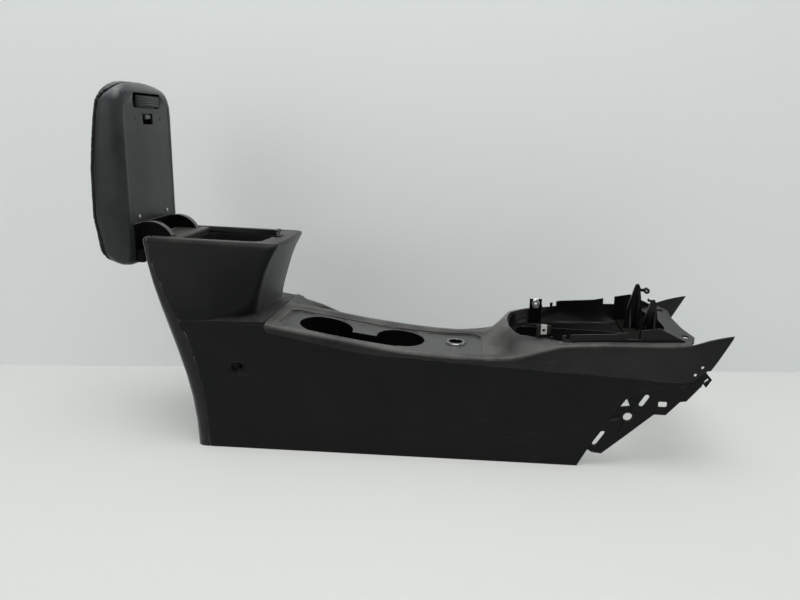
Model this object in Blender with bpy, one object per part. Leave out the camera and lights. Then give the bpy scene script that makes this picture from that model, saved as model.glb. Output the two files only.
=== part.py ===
"""Center console of a car, taken out of the car, with its armrest lid standing open.

Lengths are in metres. +X runs forward along the car, +Y to the driver's side, where the handbrake
stands, and +Z up. Heights are measured from the floor. Lengths along X are measured from the seam
of the rear cover at the floor, and the empty "console" moves all of it, so that the world's origin
lies under the middle of the finished part.
"""
import math

import bmesh
import bpy
from mathutils import Matrix, Vector

# Fits
GAP = 0.0003            # clearance between two pieces that touch
SEAM = 0.0007           # open joint line between two mouldings
WALL = 0.0025           # wall of the large mouldings
REACH = 0.2             # how far the tools that cut across the whole width stand out

# The sides: half widths of the body at three heights
FLOOR_HALF = 0.112
BELT_HALF = 0.105
TOP_HALF = 0.075
BELT_Z = 0.2005         # seam between the lower body and the bin
DECK_Z = 0.3225         # top of the bin at its rear edge
DECK_SLOPE = math.radians(2.25)
NOSE_FLARE = 0.009      # how much further out the front ends of the sides stand
FLARE_FROM = 0.45
FLARE_TO = 0.75

# Profiles: each is a list of (position, value) points that a smooth curve runs through
REAR_EDGE = [(0.0, -0.0265), (0.05, -0.0285), (0.1, -0.036), (0.15, -0.049),
             (0.2, -0.065), (0.25, -0.082), (0.3, -0.096), (0.3255, -0.102)]
STRIP_SEAM = [(0.0, -0.003), (0.05, -0.0045), (0.1, -0.009), (0.15, -0.0195),
              (0.2, -0.037), (0.25, -0.064), (0.287, -0.083), (0.3255, -0.094)]
BIN_FRONT = [(0.203, 0.0725), (0.23, 0.0795), (0.256, 0.0875), (0.278, 0.0955),
             (0.291, 0.102), (0.309, 0.113), (0.3255, 0.125)]
NEAR_LIP = [(0.094, 0.2024), (0.12, 0.1965), (0.15, 0.1925), (0.184, 0.1861), (0.218, 0.18),
            (0.253, 0.1747), (0.32, 0.1664), (0.3725, 0.1627), (0.424, 0.1612), (0.455, 0.1625),
            (0.48, 0.167), (0.505, 0.1755), (0.53, 0.1815), (0.5612, 0.1847), (0.6, 0.186),
            (0.65, 0.1877), (0.6834, 0.1888), (0.7, 0.1912), (0.7087, 0.1935), (0.718, 0.197),
            (0.728, 0.2), (0.755, 0.2062)]
FAR_LIP_DROP = [(0.094, 0.0125), (0.1186, 0.0137), (0.156, 0.0236), (0.1937, 0.0318), (0.235, 0.0321),
                (0.273, 0.0319), (0.35, 0.0271), (0.42, 0.0193), (0.4476, 0.0131), (0.475, 0.003),
                (0.49, 0.0)]
TROUGH_DROP = [(0.1, 0.0), (0.13, 0.022), (0.2, 0.04), (0.3, 0.041), (0.4, 0.026), (0.45, 0.004),
               (0.46, 0.0)]
NEAR_SEAM = [(0.094, 0.1875), (0.128, 0.1814), (0.182, 0.1706), (0.261, 0.1583), (0.34, 0.153),
             (0.417, 0.1484), (0.515, 0.1436), (0.6135, 0.1394), (0.693, 0.1349),
             (0.706, 0.138), (0.7225, 0.153), (0.76, 0.16)]

# Bin
BIN_MOUTH_FRONT = 0.084
BIN_MOUTH_REAR = -0.048
BIN_MOUTH_HALF = 0.058
BIN_BOW = 0.003         # how far the middle of the bin's front stands out past its corners
BIN_LIP_DEPTH = 0.009
SHELF_FRONT = 0.0938
SHELF_CORNER = 0.0035
TUB_FLOOR_Z = 0.115
TUB_WALL = 0.002

# Cup tray
TRAY_REAR = 0.112
TRAY_FRONT = 0.416
TRAY_NEAR = 0.0085 - BELT_HALF
TRAY_FAR = 0.0
TRAY_DEPTH = 0.003
TRAY_WALL = 0.002
REAR_CUP = (0.1765, -0.0527, 0.041)     # centre along X, centre along Y, radius
FRONT_CUP = (0.2915, -0.047, 0.037)
CUP_DEPTH = 0.066
SOCKET_X = 0.376
SOCKET_Y = -0.042
SOCKET_BORE = 0.0105
SOCKET_DEPTH = 0.05

# Handbrake slot
SLOT_REAR = 0.140
SLOT_FRONT = 0.385
SLOT_NEAR = 0.037
SLOT_FAR = BELT_HALF - 0.028

# Opening for the gear shift, as points of its half outline (X, half width)
SHIFT_OUTLINE = [(0.455, 0.0), (0.4565, 0.03), (0.462, 0.052), (0.472, BELT_HALF - 0.037),
                 (0.488, BELT_HALF - 0.028), (0.505, BELT_HALF - 0.022), (0.522, BELT_HALF - 0.0135),
                 (0.545, BELT_HALF - 0.0085), (0.6, BELT_HALF - 0.0078), (0.66, BELT_HALF - 0.0065),
                 (0.7, BELT_HALF - 0.0045)]
COLLAR_HEIGHT = [(0.4, 0.025), (0.455, 0.0235), (0.49, 0.015), (0.53, 0.0045), (0.76, 0.0035)]
COLLAR_REACH = [(0.4, 0.04), (0.455, 0.038), (0.49, 0.026), (0.53, 0.011), (0.76, 0.01)]
FRAME_TOP = [(0.45, 0.1785), (0.49, 0.183), (0.515, 0.188), (0.535, 0.194), (0.615, 0.199),
             (0.665, 0.2085), (0.684, 0.1895), (0.71, 0.1885)]
FRAME_BOTTOM_Z = 0.158
FRAME_WALL = 0.002
FRAME_LEDGE = 0.012
FRAME_FIT = 0.0005
TAB_X = (0.4945, 0.5145)
TAB_Y = BELT_HALF - 0.0275
TAB_TOP = 0.202
TAB_HOLE = (0.5045, 0.1945)
POST_Y = 0.05
BRIDGE_X = (0.64, 0.674)
RAMP_Z = 0.189

# Armrest lid, in its own frame: U runs from the hinge to the latch, V up, when it is shut
HINGE_X = -0.0975
HINGE_Z = 0.3075
LID_OPEN = math.radians(89.75)
LID_CLEARANCE = 0.0052  # between the lid's underside and the bin's top when it is shut
LID_REAR = -0.0255
LID_FRONT = 0.2265
LID_NOSE = 0.034        # length of the rounded front end
NOSE_POWER = 3.2        # how square the rounded front end is: 2 would be an ellipse
LID_CORNER = 0.02
REAR_GROWTH = 0.45
LID_HALF_REAR = 0.0755
LID_HALF_FRONT = 0.0725
LID_TOP = [(-0.0306, 0.042), (-0.0275, 0.052), (-0.0115, 0.0635), (0.0145, 0.0715), (0.041, 0.0738),
           (0.112, 0.0725), (0.158, 0.0675), (0.2, 0.0605), (0.22, 0.058), (0.2437, 0.0555)]
FLAT_DEPTH = 0.0006     # how far the underside's flat lies inside its border
# Share of the height, how far the outline is grown, and where its front end is
SHELL = [(0.0, 0.0, 0.2265), (0.02, 0.003, 0.23), (0.08, 0.0062, 0.2345), (0.2, 0.0092, 0.2385),
         (0.45, 0.0112, 0.241), (0.7, 0.0112, 0.2416), (0.9, 0.0085, 0.2412), (1.0, 0.0045, 0.2405)]
PAD = [(0.0, 0.0042, 0.2425, 0.0), (0.5, 0.0045, 0.2437, 0.0), (0.9, 0.001, 0.2405, 0.0006),
       (1.0, -0.007, 0.231, 0.0022), (1.0, -0.018, 0.216, 0.0048), (1.0, -0.03, 0.204, 0.0062)]
CORE_PLATE = 0.002
ARM_Y = 0.045
ARM_WIDTH = 0.0105
ARM_OUTER = 0.036
ARM_HUB = 0.0055
BRACKET_HALF = 0.064
BRACKET_FRONT = 0.0335
PIN_RADIUS = 0.0025
PIN_CLEARANCE = 0.0004
ARM_SCREW = (0.0423, 0.045)
SCREW_SHANK = 0.0015

# Latch, in the lid's frame
BUTTON_U = (0.2055, 0.2248)
WINDOW_U = (0.2049, 0.2271)
BUTTON_HALF = 0.042
HOLE_U = (0.1805, 0.197)
HOLE_HALF = 0.0155
LATCH_PIVOT = (0.200, 0.0345)
STRIKER_X = 0.0878
STRIKER_HALF = 0.0095
STRIKER_HIGH = 0.0105


def smooth(points):
    """Return a function that runs smoothly, without overshoot, through (position, value) points."""
    at = [p[0] for p in points]
    value = [p[1] for p in points]
    rise = [(value[i + 1] - value[i]) / (at[i + 1] - at[i]) for i in range(len(at) - 1)]
    slope = [rise[0]]
    for before, after in zip(rise, rise[1:]):
        slope.append(0.0 if before * after <= 0 else 2 * before * after / (before + after))
    slope.append(rise[-1])

    def curve(x):
        x = min(max(x, at[0]), at[-1])
        i = max(k for k in range(len(at) - 1) if at[k] <= x)
        step = at[i + 1] - at[i]
        t = (x - at[i]) / step
        return ((1 + 2 * t) * (1 - t) ** 2 * value[i] + t * (1 - t) ** 2 * step * slope[i]
                + t * t * (3 - 2 * t) * value[i + 1] + t * t * (t - 1) * step * slope[i + 1])
    return curve


def blend(low, high, x):
    """Rise smoothly from 0 at low to 1 at high."""
    t = min(max((x - low) / (high - low), 0.0), 1.0)
    return t * t * (3 - 2 * t)


def spread(start, end, count):
    """Return count values from start to end at even steps."""
    return [start + (end - start) * i / (count - 1) for i in range(count)]


rear_edge = smooth(REAR_EDGE)
strip_seam = smooth(STRIP_SEAM)
bin_front = smooth(BIN_FRONT)
near_lip = smooth(NEAR_LIP)
far_lip_drop = smooth(FAR_LIP_DROP)
trough_drop = smooth(TROUGH_DROP)
near_seam = smooth(NEAR_SEAM)
collar_height = smooth(COLLAR_HEIGHT)
collar_reach = smooth(COLLAR_REACH)
frame_top = smooth(FRAME_TOP)
body_half = smooth([(0.0, FLOOR_HALF), (BELT_Z, BELT_HALF), (DECK_Z, TOP_HALF)])
REAR_TOP_X = REAR_EDGE[-1][1]
FINISHER_REAR = SHELF_FRONT + SEAM


def side_half(x, z):
    """Half width of the body's outer surface."""
    return body_half(z) + NOSE_FLARE * blend(FLARE_FROM, FLARE_TO, x) * z / BELT_Z


def deck_top(x):
    """Height of the bin's top surface."""
    return DECK_Z - math.tan(DECK_SLOPE) * (x - REAR_TOP_X)


def far_seam(x):
    """Height of the seam on the driver's side: it follows the lower lip there."""
    near_depth = near_lip(x) - near_seam(x)
    return near_lip(x) - far_lip_drop(x) - near_depth


def seam(side, x):
    """Height of the seam under the top finisher on either side."""
    return near_seam(x) if side < 0 else far_seam(x)


# Materials and objects

def material(name, color, roughness, metallic=0.0):
    mat = bpy.data.materials.new(name)
    mat.use_nodes = True
    shader = mat.node_tree.nodes["Principled BSDF"]
    shader.inputs["Base Color"].default_value = (*color, 1.0)
    shader.inputs["Roughness"].default_value = roughness
    shader.inputs["Metallic"].default_value = metallic
    mat.diffuse_color = (*color, 1.0)
    return mat


def add_object(name, bm, mat=None, parent=None):
    """Turn a bmesh into a named object with its material."""
    mesh = bpy.data.meshes.new(name)
    bm.to_mesh(mesh)
    bm.free()
    if mat:
        mesh.materials.append(mat)
        mesh.shade_smooth()
        mesh.set_sharp_from_angle(angle=math.radians(35))
    obj = bpy.data.objects.new(name, mesh)
    bpy.context.scene.collection.objects.link(obj)
    obj.parent = parent
    return obj


def make_tool(obj, bm):
    """Make a hidden object that cuts, joins or trims another one."""
    tool = add_object(f"tool_{len(obj.modifiers)}_{obj.name}", bm, parent=obj.parent)
    tool.hide_render = True
    tool.display_type = "WIRE"
    return tool


def use_tool(obj, operation, tool):
    step = obj.modifiers.new(tool.name, "BOOLEAN")
    step.operation = operation
    step.object = tool
    step.solver = "EXACT"


def apply_tool(obj, operation, bm):
    use_tool(obj, operation, make_tool(obj, bm))


def cut(obj, *tools):
    for tool in tools:
        apply_tool(obj, "DIFFERENCE", tool)


def join(obj, *tools):
    for tool in tools:
        apply_tool(obj, "UNION", tool)


def thicken(obj, thickness):
    """Give a sheet its wall, on the side away from its normals."""
    step = obj.modifiers.new("wall", "SOLIDIFY")
    step.thickness = thickness
    step.offset = -1.0
    step.use_even_offset = True


# Shapes

def split_bent(bm):
    """Split every face whose corners don't lie in one plane into triangles."""
    bm.normal_update()
    bent = [face for face in bm.faces
            if max(abs((v.co - face.verts[0].co).dot(face.normal)) for v in face.verts) > 1e-7]
    bmesh.ops.triangulate(bm, faces=bent)
    return bm


def skin(rows, flip=False):
    """Join rows of points with four-sided faces and return the open sheet."""
    bm = bmesh.new()
    lines = [[bm.verts.new(p) for p in row] for row in rows]
    for low, high in zip(lines, lines[1:]):
        for i in range(len(low) - 1):
            corners = [low[i], low[i + 1], high[i + 1], high[i]]
            bm.faces.new(corners[::-1] if flip else corners)
    return split_bent(bm)


def loft(rings):
    """Join closed rings of points and close both ends."""
    bm = bmesh.new()
    loops = [[bm.verts.new(p) for p in ring] for ring in rings]
    for low, high in zip(loops, loops[1:]):
        for i in range(len(low)):
            j = (i + 1) % len(low)
            bm.faces.new((low[i], low[j], high[j], high[i]))
    bm.faces.new(loops[0][::-1])
    bm.faces.new(loops[-1])
    bmesh.ops.recalc_face_normals(bm, faces=bm.faces)
    return split_bent(bm)


PLACE = {"X": lambda a, b, c: (c, a, b), "Y": lambda a, b, c: (a, c, b), "Z": lambda a, b, c: (a, b, c)}


def prism(outline, axis, low, high):
    """Extrude an outline along an axis, between two positions on it."""
    return loft([[PLACE[axis](a, b, c) for a, b in outline] for c in (low, high)])


def box(x, y, z):
    """Make a block from its (low, high) pairs."""
    return prism([(x[0], y[0]), (x[1], y[0]), (x[1], y[1]), (x[0], y[1])], "Z", z[0], z[1])


def arc(center, radius, start, end, count, radius_b=None):
    """Points along an arc between two angles in degrees; radius_b makes it elliptic."""
    radius_b = radius_b or radius
    return [(center[0] + radius * math.cos(math.radians(a)), center[1] + radius_b * math.sin(math.radians(a)))
            for a in spread(start, end, count)]


def disc(center, radius, sides=24, radius_b=None):
    """Outline of a circle or an ellipse."""
    return arc(center, radius, 0, 360 * (sides - 1) / sides, sides, radius_b)


def rod(center, radius, axis, low, high, sides=24, radius_b=None):
    """Round bar along an axis."""
    return prism(disc(center, radius, sides, radius_b), axis, low, high)


def turned(profile, center, sides=32):
    """Turn a closed profile of (radius, height) points about an upright axis."""
    bm = bmesh.new()
    rings = []
    for k in range(sides):
        a = 2 * math.pi * k / sides
        rings.append([bm.verts.new((center[0] + r * math.cos(a), center[1] + r * math.sin(a), z))
                      for r, z in profile])
    for k in range(sides):
        here, there = rings[k], rings[(k + 1) % sides]
        for i in range(len(profile)):
            j = (i + 1) % len(profile)
            bm.faces.new((here[i], there[i], there[j], here[j]))
    bmesh.ops.recalc_face_normals(bm, faces=bm.faces)
    return bm


def rounded_rect(x, y, radius, count=5):
    """Outline of a rectangle with round corners; radius is one value or one for each corner."""
    radii = radius if isinstance(radius, (list, tuple)) else [radius] * 4
    corners = [(x[1], y[0], -90), (x[1], y[1], 0), (x[0], y[1], 90), (x[0], y[0], 180)]
    outline = []
    for (cx, cy, start), r in zip(corners, radii):
        inward_x = -r if cx == x[1] else r
        inward_y = -r if cy == y[1] else r
        outline += arc((cx + inward_x, cy + inward_y), r, start, start + 90, count)
    return outline


def slot_outline(start, end, radius, count=6):
    """Outline of a slot with round ends between two centres."""
    turn = math.degrees(math.atan2(end[1] - start[1], end[0] - start[0]))
    return (arc(end, radius, turn - 90, turn + 90, count)
            + arc(start, radius, turn + 90, turn + 270, count))


def bezier(a, b, c, count):
    """Points along the curve from a to c that leaves a towards b and reaches c from b."""
    return [tuple((1 - t) ** 2 * p + 2 * t * (1 - t) * q + t * t * r for p, q, r in zip(a, b, c))
            for t in spread(0.0, 1.0, count)]


# Side panels

PANEL_STATIONS = [-0.06, 0.2, 0.45, 0.5, 0.54, 0.58, 0.62, 0.66, 0.7, 0.73, 0.76]
PANEL_HEIGHTS = [-0.01, 0.05, 0.105, 0.16, 0.21]
FRONT_EDGE = [(0.5575, 0.0), (0.5585, 0.0022), (0.5712, 0.0264), (0.58, 0.0212), (0.5914, 0.0202),
              (0.6215, 0.0482), (0.6597, 0.085), (0.6754, 0.0848), (0.6928, 0.1057), (0.7012, 0.1073),
              (0.7171, 0.1283)]
CLIP_TAB = [(0.7196, 0.1354), (0.724, 0.1297), (0.7307, 0.1417), (0.7232, 0.1505)]
STEP_ARC = [(0.5595, -0.02), (0.588, 0.045), (0.6, 0.075), (0.611, 0.098), (0.63, 0.1165),
            (0.66, 0.1225), (0.69, 0.128), (0.8, 0.135)]
EAR_ROOT = (0.7232, 0.1515)
SCREW_RECESS = (0.0506, 0.1306)
EAR_TIP = (0.7545, 0.2045)
DECK_STATIONS = ([FINISHER_REAR - 0.004] + spread(0.104, 0.404, 11) + spread(0.42, 0.55, 11) + [0.58, 0.62]
                 + [0.66, 0.69, 0.7, 0.706, 0.712, EAR_ROOT[0] - SEAM, 0.736, 0.748, 0.76])
CORNER_RADIUS = 0.008   # lower rear corner of the finisher's side


def corner_center(side):
    """Centre of the finisher's rounded lower rear corner."""
    x = FINISHER_REAR + CORNER_RADIUS
    return (x, seam(side, x) + SEAM / 2 + CORNER_RADIUS)


def side_sheet(side, inset):
    """Sheet along one side of the body, set in from its outer surface."""
    rows = [[(x, side * (side_half(x, max(z, 0.0)) - inset), z) for x in PANEL_STATIONS]
            for z in PANEL_HEIGHTS]
    return skin(rows, flip=side > 0)


def panel_top(side):
    """Top edge of a side panel, from the front to the rear."""
    center = corner_center(side)
    edge = [(x, seam(side, x) - SEAM / 2) for x in DECK_STATIONS[::-1]
            if center[0] + 0.0005 < x < EAR_ROOT[0]]
    edge += arc(center, CORNER_RADIUS + SEAM, 270, 180, 5)
    top = belt_edge(side)
    edge += [(x, top(x) - SEAM) for x in spread(edge[-1][0] - 0.0002, strip_seam(BELT_Z) + SEAM, 6)]
    return edge


def belt_edge(side):
    """Height of the seam under the bin: on the driver's side it falls towards the front."""
    fall = near_lip(0.094) - far_lip_drop(0.094) if side > 0 else BELT_Z
    return smooth([(-0.05, BELT_Z), (0.0, BELT_Z), (0.05, (BELT_Z + min(fall, BELT_Z)) / 2 - 0.0002),
                   (SHELF_FRONT, min(fall - 0.0015, BELT_Z - 0.0001))])


def side_panel(name, side, mat, parent):
    """One side of the lower body with its front bracket."""
    rear = [(strip_seam(z) + SEAM, z) for z in spread(BELT_Z - 0.02, 0.0, 8)]
    outline = FRONT_EDGE + CLIP_TAB + panel_top(side) + rear
    reach = sorted((side * (BELT_HALF - 0.02), side * REACH))
    panel = add_object(name, side_sheet(side, 0.0), mat, parent)
    thicken(panel, 2 * WALL - GAP)
    apply_tool(panel, "INTERSECT", prism(outline, "Y", *reach))
    outer_layer = make_tool(panel, side_sheet(side, -0.01))
    thicken(outer_layer, 0.01 + WALL - GAP)
    apply_tool(outer_layer, "INTERSECT", prism(STEP_ARC + [(0.8, -0.02)], "Y", *reach))
    use_tool(panel, "DIFFERENCE", outer_layer)
    under_skin = [(x - 0.008, z + 0.008) for x, z in STEP_ARC]
    inner_layer = make_tool(panel, side_sheet(side, WALL))
    thicken(inner_layer, 0.01)
    cut(inner_layer, prism([(under_skin[0][0], -0.03)] + under_skin + [(0.8, -0.03)], "Y", *reach))
    use_tool(panel, "DIFFERENCE", inner_layer)
    skin_y = side_half(0.624, 0.08)
    ribs = sorted((side * (skin_y - 0.004), side * (skin_y - 0.0003)))
    join(panel, rod((0.624, 0.08), 0.0095, "Y", *ribs))
    for turn in (60, 105, 150, 195, 250):
        tip = arc((0.624, 0.08), 0.026, turn, turn + 1, 2)[0]
        root = arc((0.624, 0.08), 0.008, turn, turn + 1, 2)[0]
        join(panel, prism(slot_outline(root, tip, 0.0011, 3), "Y", *ribs))
    cut(panel, rod((0.624, 0.08), 0.0065, "Y", *reach),
        prism(slot_outline((0.648, 0.111), (0.6415, 0.0995), 0.0036), "Y", *reach),
        prism(slot_outline((0.591, 0.053), (0.581, 0.0365), 0.0036), "Y", *reach),
        prism([(0.613, 0.094), (0.626, 0.096), (0.621, 0.108)], "Y", *reach),
        prism(rounded_rect((0.664, 0.676), (0.0965, 0.105), 0.002, 3), "Y", *reach),
        prism(slot_outline((0.7222, 0.1375), (0.7248, 0.1415), 0.0018, 4), "Y", *reach))
    screw_y = side_half(*SCREW_RECESS)
    cup = sorted((side * (screw_y - 0.0102), side * (screw_y - 0.0004)))
    inside = sorted((side * (screw_y - 0.0082), side * REACH))
    join(panel, rod(SCREW_RECESS, 0.0148, "Y", *cup, radius_b=0.0118))
    cut(panel, rod(SCREW_RECESS, 0.0128, "Y", *inside, radius_b=0.0098),
        rod(SCREW_RECESS, 0.004, "Y", *reach, sides=16))
    return panel


# Bin surround, rear cover and the deck between the hinge arms

def bin_plan(z, rear_x, half, front_x, corner, pull, side_points=7):
    """Half plan of the bin's wall from the rear, along the side, to the middle of the front."""
    side_end = front_x - corner
    straight_from = rear_x + 0.35 * (side_end - rear_x)
    narrow = half - pull
    side_line = []
    for x in spread(rear_x, side_end, side_points):
        t = max(0.0, (x - straight_from) / (side_end - straight_from))
        side_line.append((x, half - pull * t * t))
    lean = 2 * pull / (side_end - straight_from)
    knee = (front_x, narrow - lean * corner)
    front_end = knee[1] - corner
    bow = min(BIN_BOW, corner / 2)

    def face(y):
        return (front_x - bow * (y / front_end) ** 2, y)
    around = bezier(side_line[-1], (front_x - bow / 2, knee[1]), face(front_end), 7)[1:]
    middle = [face(y) for y in spread(front_end, 0.0, 5)][1:]
    return [(x, y, z) for x, y in side_line + around + middle]


def both_sides(half_line):
    """Mirror a half line that ends on the middle plane into a whole one."""
    near = [(x, -y, z) for x, y, z in half_line]
    return near + half_line[-2::-1]


def follow_deck(line, depth):
    """Lay a line on the bin's sloping top, a given depth below it."""
    return [(x, y, deck_top(x) - depth) for x, y, z in line]


def bin_surround(mat, parent):
    """Tapered box round the bin, with a shelf at its foot and a rolled rim at its top."""
    rear = lambda z: strip_seam(z) + SEAM
    fall = belt_edge(1.0)

    def shelf(line, depth):
        placed = []
        for x, y, z in line:
            drop = (BELT_Z - fall(x)) * blend(0.02, 0.095, y)
            placed.append((x, y, z - drop - depth))
        return placed
    rows = []
    skirt = BELT_HALF - 0.0002
    foot = both_sides(bin_plan(0.2032, rear(BELT_Z), skirt, SHELF_FRONT, SHELF_CORNER, 0.0))
    rows.append(shelf(foot, 0.0032 - SEAM / 2))
    rows.append(shelf(foot, 0.0006))
    rows.append(shelf(both_sides(bin_plan(0.2032, rear(BELT_Z), skirt - 0.0008, SHELF_FRONT - 0.0008,
                                          SHELF_CORNER, 0.0)), 0.0))
    rows.append(shelf(both_sides(bin_plan(0.2036, rear(0.2035), skirt - 0.0014, 0.0745, 0.02, 0.0215)), 0.0))
    for z in (0.2085, 0.222, 0.245, 0.268, 0.288, 0.304):
        t = (z - 0.2) / (DECK_Z - 0.2)
        pull = 0.0215 * (1 - t) ** 1.3
        line = both_sides(bin_plan(z, rear(z), body_half(z), bin_front(z), 0.018 - 0.004 * t, pull))
        rows.append(shelf(line, 0.0) if z < 0.212 else line)
    for inset, depth in ((0.0, 0.0055), (0.0014, 0.0022), (0.0045, 0.0004), (0.0065, 0.0)):
        front_x = bin_front(deck_top(0.119) - depth) - inset
        plan = bin_plan(0.32, rear(0.32), body_half(DECK_Z - depth) - inset, front_x, 0.014, 0.0)
        rows.append(follow_deck(both_sides(plan), depth))
    mouth = both_sides(bin_plan(0.32, rear(0.32), BIN_MOUTH_HALF, BIN_MOUTH_FRONT, 0.02, 0.0))
    rows.append(follow_deck(mouth, 0.0))
    rows.append(follow_deck(mouth, BIN_LIP_DEPTH))
    surround = add_object("bin_surround", skin(rows), mat, parent)
    thicken(surround, WALL)
    return surround


def rear_cover(mat, parent):
    """Wall that wraps round the rear corners, rolled over to meet the deck at its top."""
    def plan(z, inset=0.0):
        seam_x = strip_seam(z) - SEAM / 2
        edge_x = min(rear_edge(z) + inset, seam_x - 0.0015)
        half = body_half(z) - inset
        corner = min(0.02, 0.85 * (seam_x - edge_x))
        around = bezier((edge_x + corner, half), (edge_x, half), (edge_x, half - corner), 6)
        across = [(edge_x, y) for y in spread(half - corner, 0.0, 5)][1:]
        line = [(seam_x, half)] + around + across
        return both_sides([(x, y, z) for x, y in line])
    rows = [plan(z) for z in (-0.01, 0.04, 0.08, 0.115, 0.15, 0.185, 0.22, 0.255, 0.285, 0.314)]
    rolled = [(0.0008, 0.0022), (0.003, 0.0004), (0.0055, 0.0), (0.0078, 0.0)]
    for inset, depth in rolled:
        rows.append(follow_deck(plan(0.3235, inset), depth))
    cover = add_object("rear_cover", skin(rows, flip=True), mat, parent)
    thicken(cover, WALL)
    trim = [(-0.2, 0.0)] + [(strip_seam(z) - SEAM / 2, z) for z in spread(0.0, 0.32, 17)]
    trim += [(-0.0935, 0.335), (-0.2, 0.335)]
    apply_tool(cover, "INTERSECT", prism(trim, "Y", -REACH, REACH))
    for side in (-1, 1):
        notch_y = sorted((side * (ARM_Y - 0.0117), side * (ARM_Y + 0.0117)))
        cut(cover, box((-0.13, -0.08), notch_y, (0.2985, 0.34)))
    return cover


def rear_deck(mat, parent):
    """Deck behind the bin's mouth, with the lugs that carry the hinge pins."""
    half = BIN_MOUTH_HALF - SEAM
    rear_x = HINGE_X + 0.0027
    stations = [(rear_x, 0.0), (-0.07, 0.0), (BIN_MOUTH_REAR - 0.003, 0.0), (BIN_MOUTH_REAR - 0.0008, 0.0006),
                (BIN_MOUTH_REAR, 0.003), (BIN_MOUTH_REAR, BIN_LIP_DEPTH)]
    rows = [[(x, y, deck_top(x) - depth) for y in spread(-half, half, 9)] for x, depth in stations]
    deck = add_object("rear_deck", skin(rows, flip=True), mat, parent)
    thicken(deck, WALL)
    lug_radius = 0.006
    under = deck_top(-0.085) - WALL
    for side in (-1, 1):
        for offset in (-0.0085, 0.0085):
            middle = side * ARM_Y + offset
            lug = arc((HINGE_X, HINGE_Z), lug_radius, 125, 300, 9)
            lug += [(HINGE_X + 0.02, under - 0.004), (HINGE_X + 0.02, under + 0.001),
                    (rear_x + 0.001, under + 0.001), (rear_x + 0.001, HINGE_Z + 0.006)]
            join(deck, prism(lug, "Y", middle - 0.002, middle + 0.002))
            cut(deck, rod((HINGE_X, HINGE_Z), PIN_RADIUS + GAP, "Y", middle - 0.003, middle + 0.003, 16))
        slot_y = sorted((side * ARM_Y - 0.0065, side * ARM_Y + 0.0065))
        cut(deck, box((-0.12, HINGE_X + ARM_OUTER + 0.0015), slot_y, (0.317, 0.34)))
    return deck


def bin_tub(mat, parent):
    """Open box that hangs in the bin's mouth from a flange."""
    rear, front, half = BIN_MOUTH_REAR + 0.001, BIN_MOUTH_FRONT - 0.001, BIN_MOUTH_HALF - 0.001
    flange = 0.0045

    def ring(inset, z, taper):
        x = (rear + inset + 0.012 * taper, front - inset - 0.034 * taper)
        y = (-(half - inset - 0.008 * taper), half - inset - 0.008 * taper)
        return [(px, py, z) for px, py in rounded_rect(x, y, max(0.018 - inset, 0.004))]

    def top(inset, depth):
        lift = BIN_LIP_DEPTH + GAP + depth
        return [(x, y, deck_top(x) - lift) for x, y, z in ring(inset, 0.0, 0.0)]
    rings = [ring(0.0, TUB_FLOOR_Z - TUB_WALL, 1.0), ring(0.0, 0.21, 0.56), top(0.0, TUB_WALL),
             top(-flange, TUB_WALL), top(-flange, 0.0), top(TUB_WALL, 0.0),
             ring(TUB_WALL, 0.21, 0.56), ring(TUB_WALL, TUB_FLOOR_Z, 1.0)]
    return add_object("bin_tub", loft(rings), mat, parent)


def striker(mat, parent):
    """Catch on the front rim that the lid's hook holds."""
    foot = deck_top(STRIKER_X) + GAP
    high = STRIKER_HIGH
    profile = [(-0.0035, 0.00008), (0.0085, -0.0002), (0.0085, 0.0012), (0.003, 0.0014), (0.0022, high - 0.003),
               (0.005, high - 0.0028), (0.0045, high - 0.0008), (0.0022, high), (-0.001, high), (-0.0022, 0.0016),
               (-0.0035, 0.0014)]
    outline = [(STRIKER_X + x, foot + z) for x, z in profile]
    return add_object("striker", prism(outline, "Y", -STRIKER_HALF, STRIKER_HALF), mat, parent)


# Top finisher

DECK_LINES = [0.017 - BELT_HALF, 0.029 - BELT_HALF, -0.06, -0.04, -0.02, -0.003, 0.003, 0.0085, 0.014, 0.019,
              0.025, 0.032, 0.055, BELT_HALF - 0.027, BELT_HALF - 0.02, BELT_HALF - 0.0145]


def shift_outline(inset=0.0):
    """Whole outline of the shift opening, from the near front end to the far one."""
    half_line = []
    for i, (x, y) in enumerate(SHIFT_OUTLINE):
        before = SHIFT_OUTLINE[max(i - 1, 0)]
        after = SHIFT_OUTLINE[min(i + 1, len(SHIFT_OUTLINE) - 1)]
        run = Vector((after[0] - before[0], after[1] - before[1]))
        if i == 0:
            run = Vector((0.0, 1.0))
        run.normalize()
        half_line.append((x + run.y * inset, max(y - run.x * inset, 0.0)))
    return [(x, -y) for x, y in half_line[::-1]] + half_line[1:]


def opening_distance(x, y):
    """Distance in plan from a point to the edge of the shift opening."""
    line = shift_outline()
    best = 1.0
    for (ax, ay), (bx, by) in zip(line, line[1:]):
        run = Vector((bx - ax, by - ay))
        t = min(max(Vector((x - ax, y - ay)).dot(run) / run.length_squared, 0.0), 1.0)
        best = min(best, math.hypot(x - ax - t * run.x, y - ay - t * run.y))
    return best


def deck_height(x, y):
    """Height of the finisher's top surface."""
    z = near_lip(x)
    ridge = 0.0026 * blend(0.1, 0.125, x) * (1 - blend(0.41, 0.44, x))
    z += ridge * blend(-0.003, 0.005, y) * (1 - blend(0.012, 0.02, y))
    floor = trough_drop(x) * blend(0.018, 0.031, y)
    edge = blend(BELT_HALF - 0.026, BELT_HALF - 0.013, y)
    z -= floor * (1 - edge) + far_lip_drop(x) * edge
    near = 1 - min(opening_distance(x, y) / collar_reach(x), 1.0)
    return z + collar_height(x) * near * near * (3 - 2 * near) * (1 - blend(0.69, 0.71, x))


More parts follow.
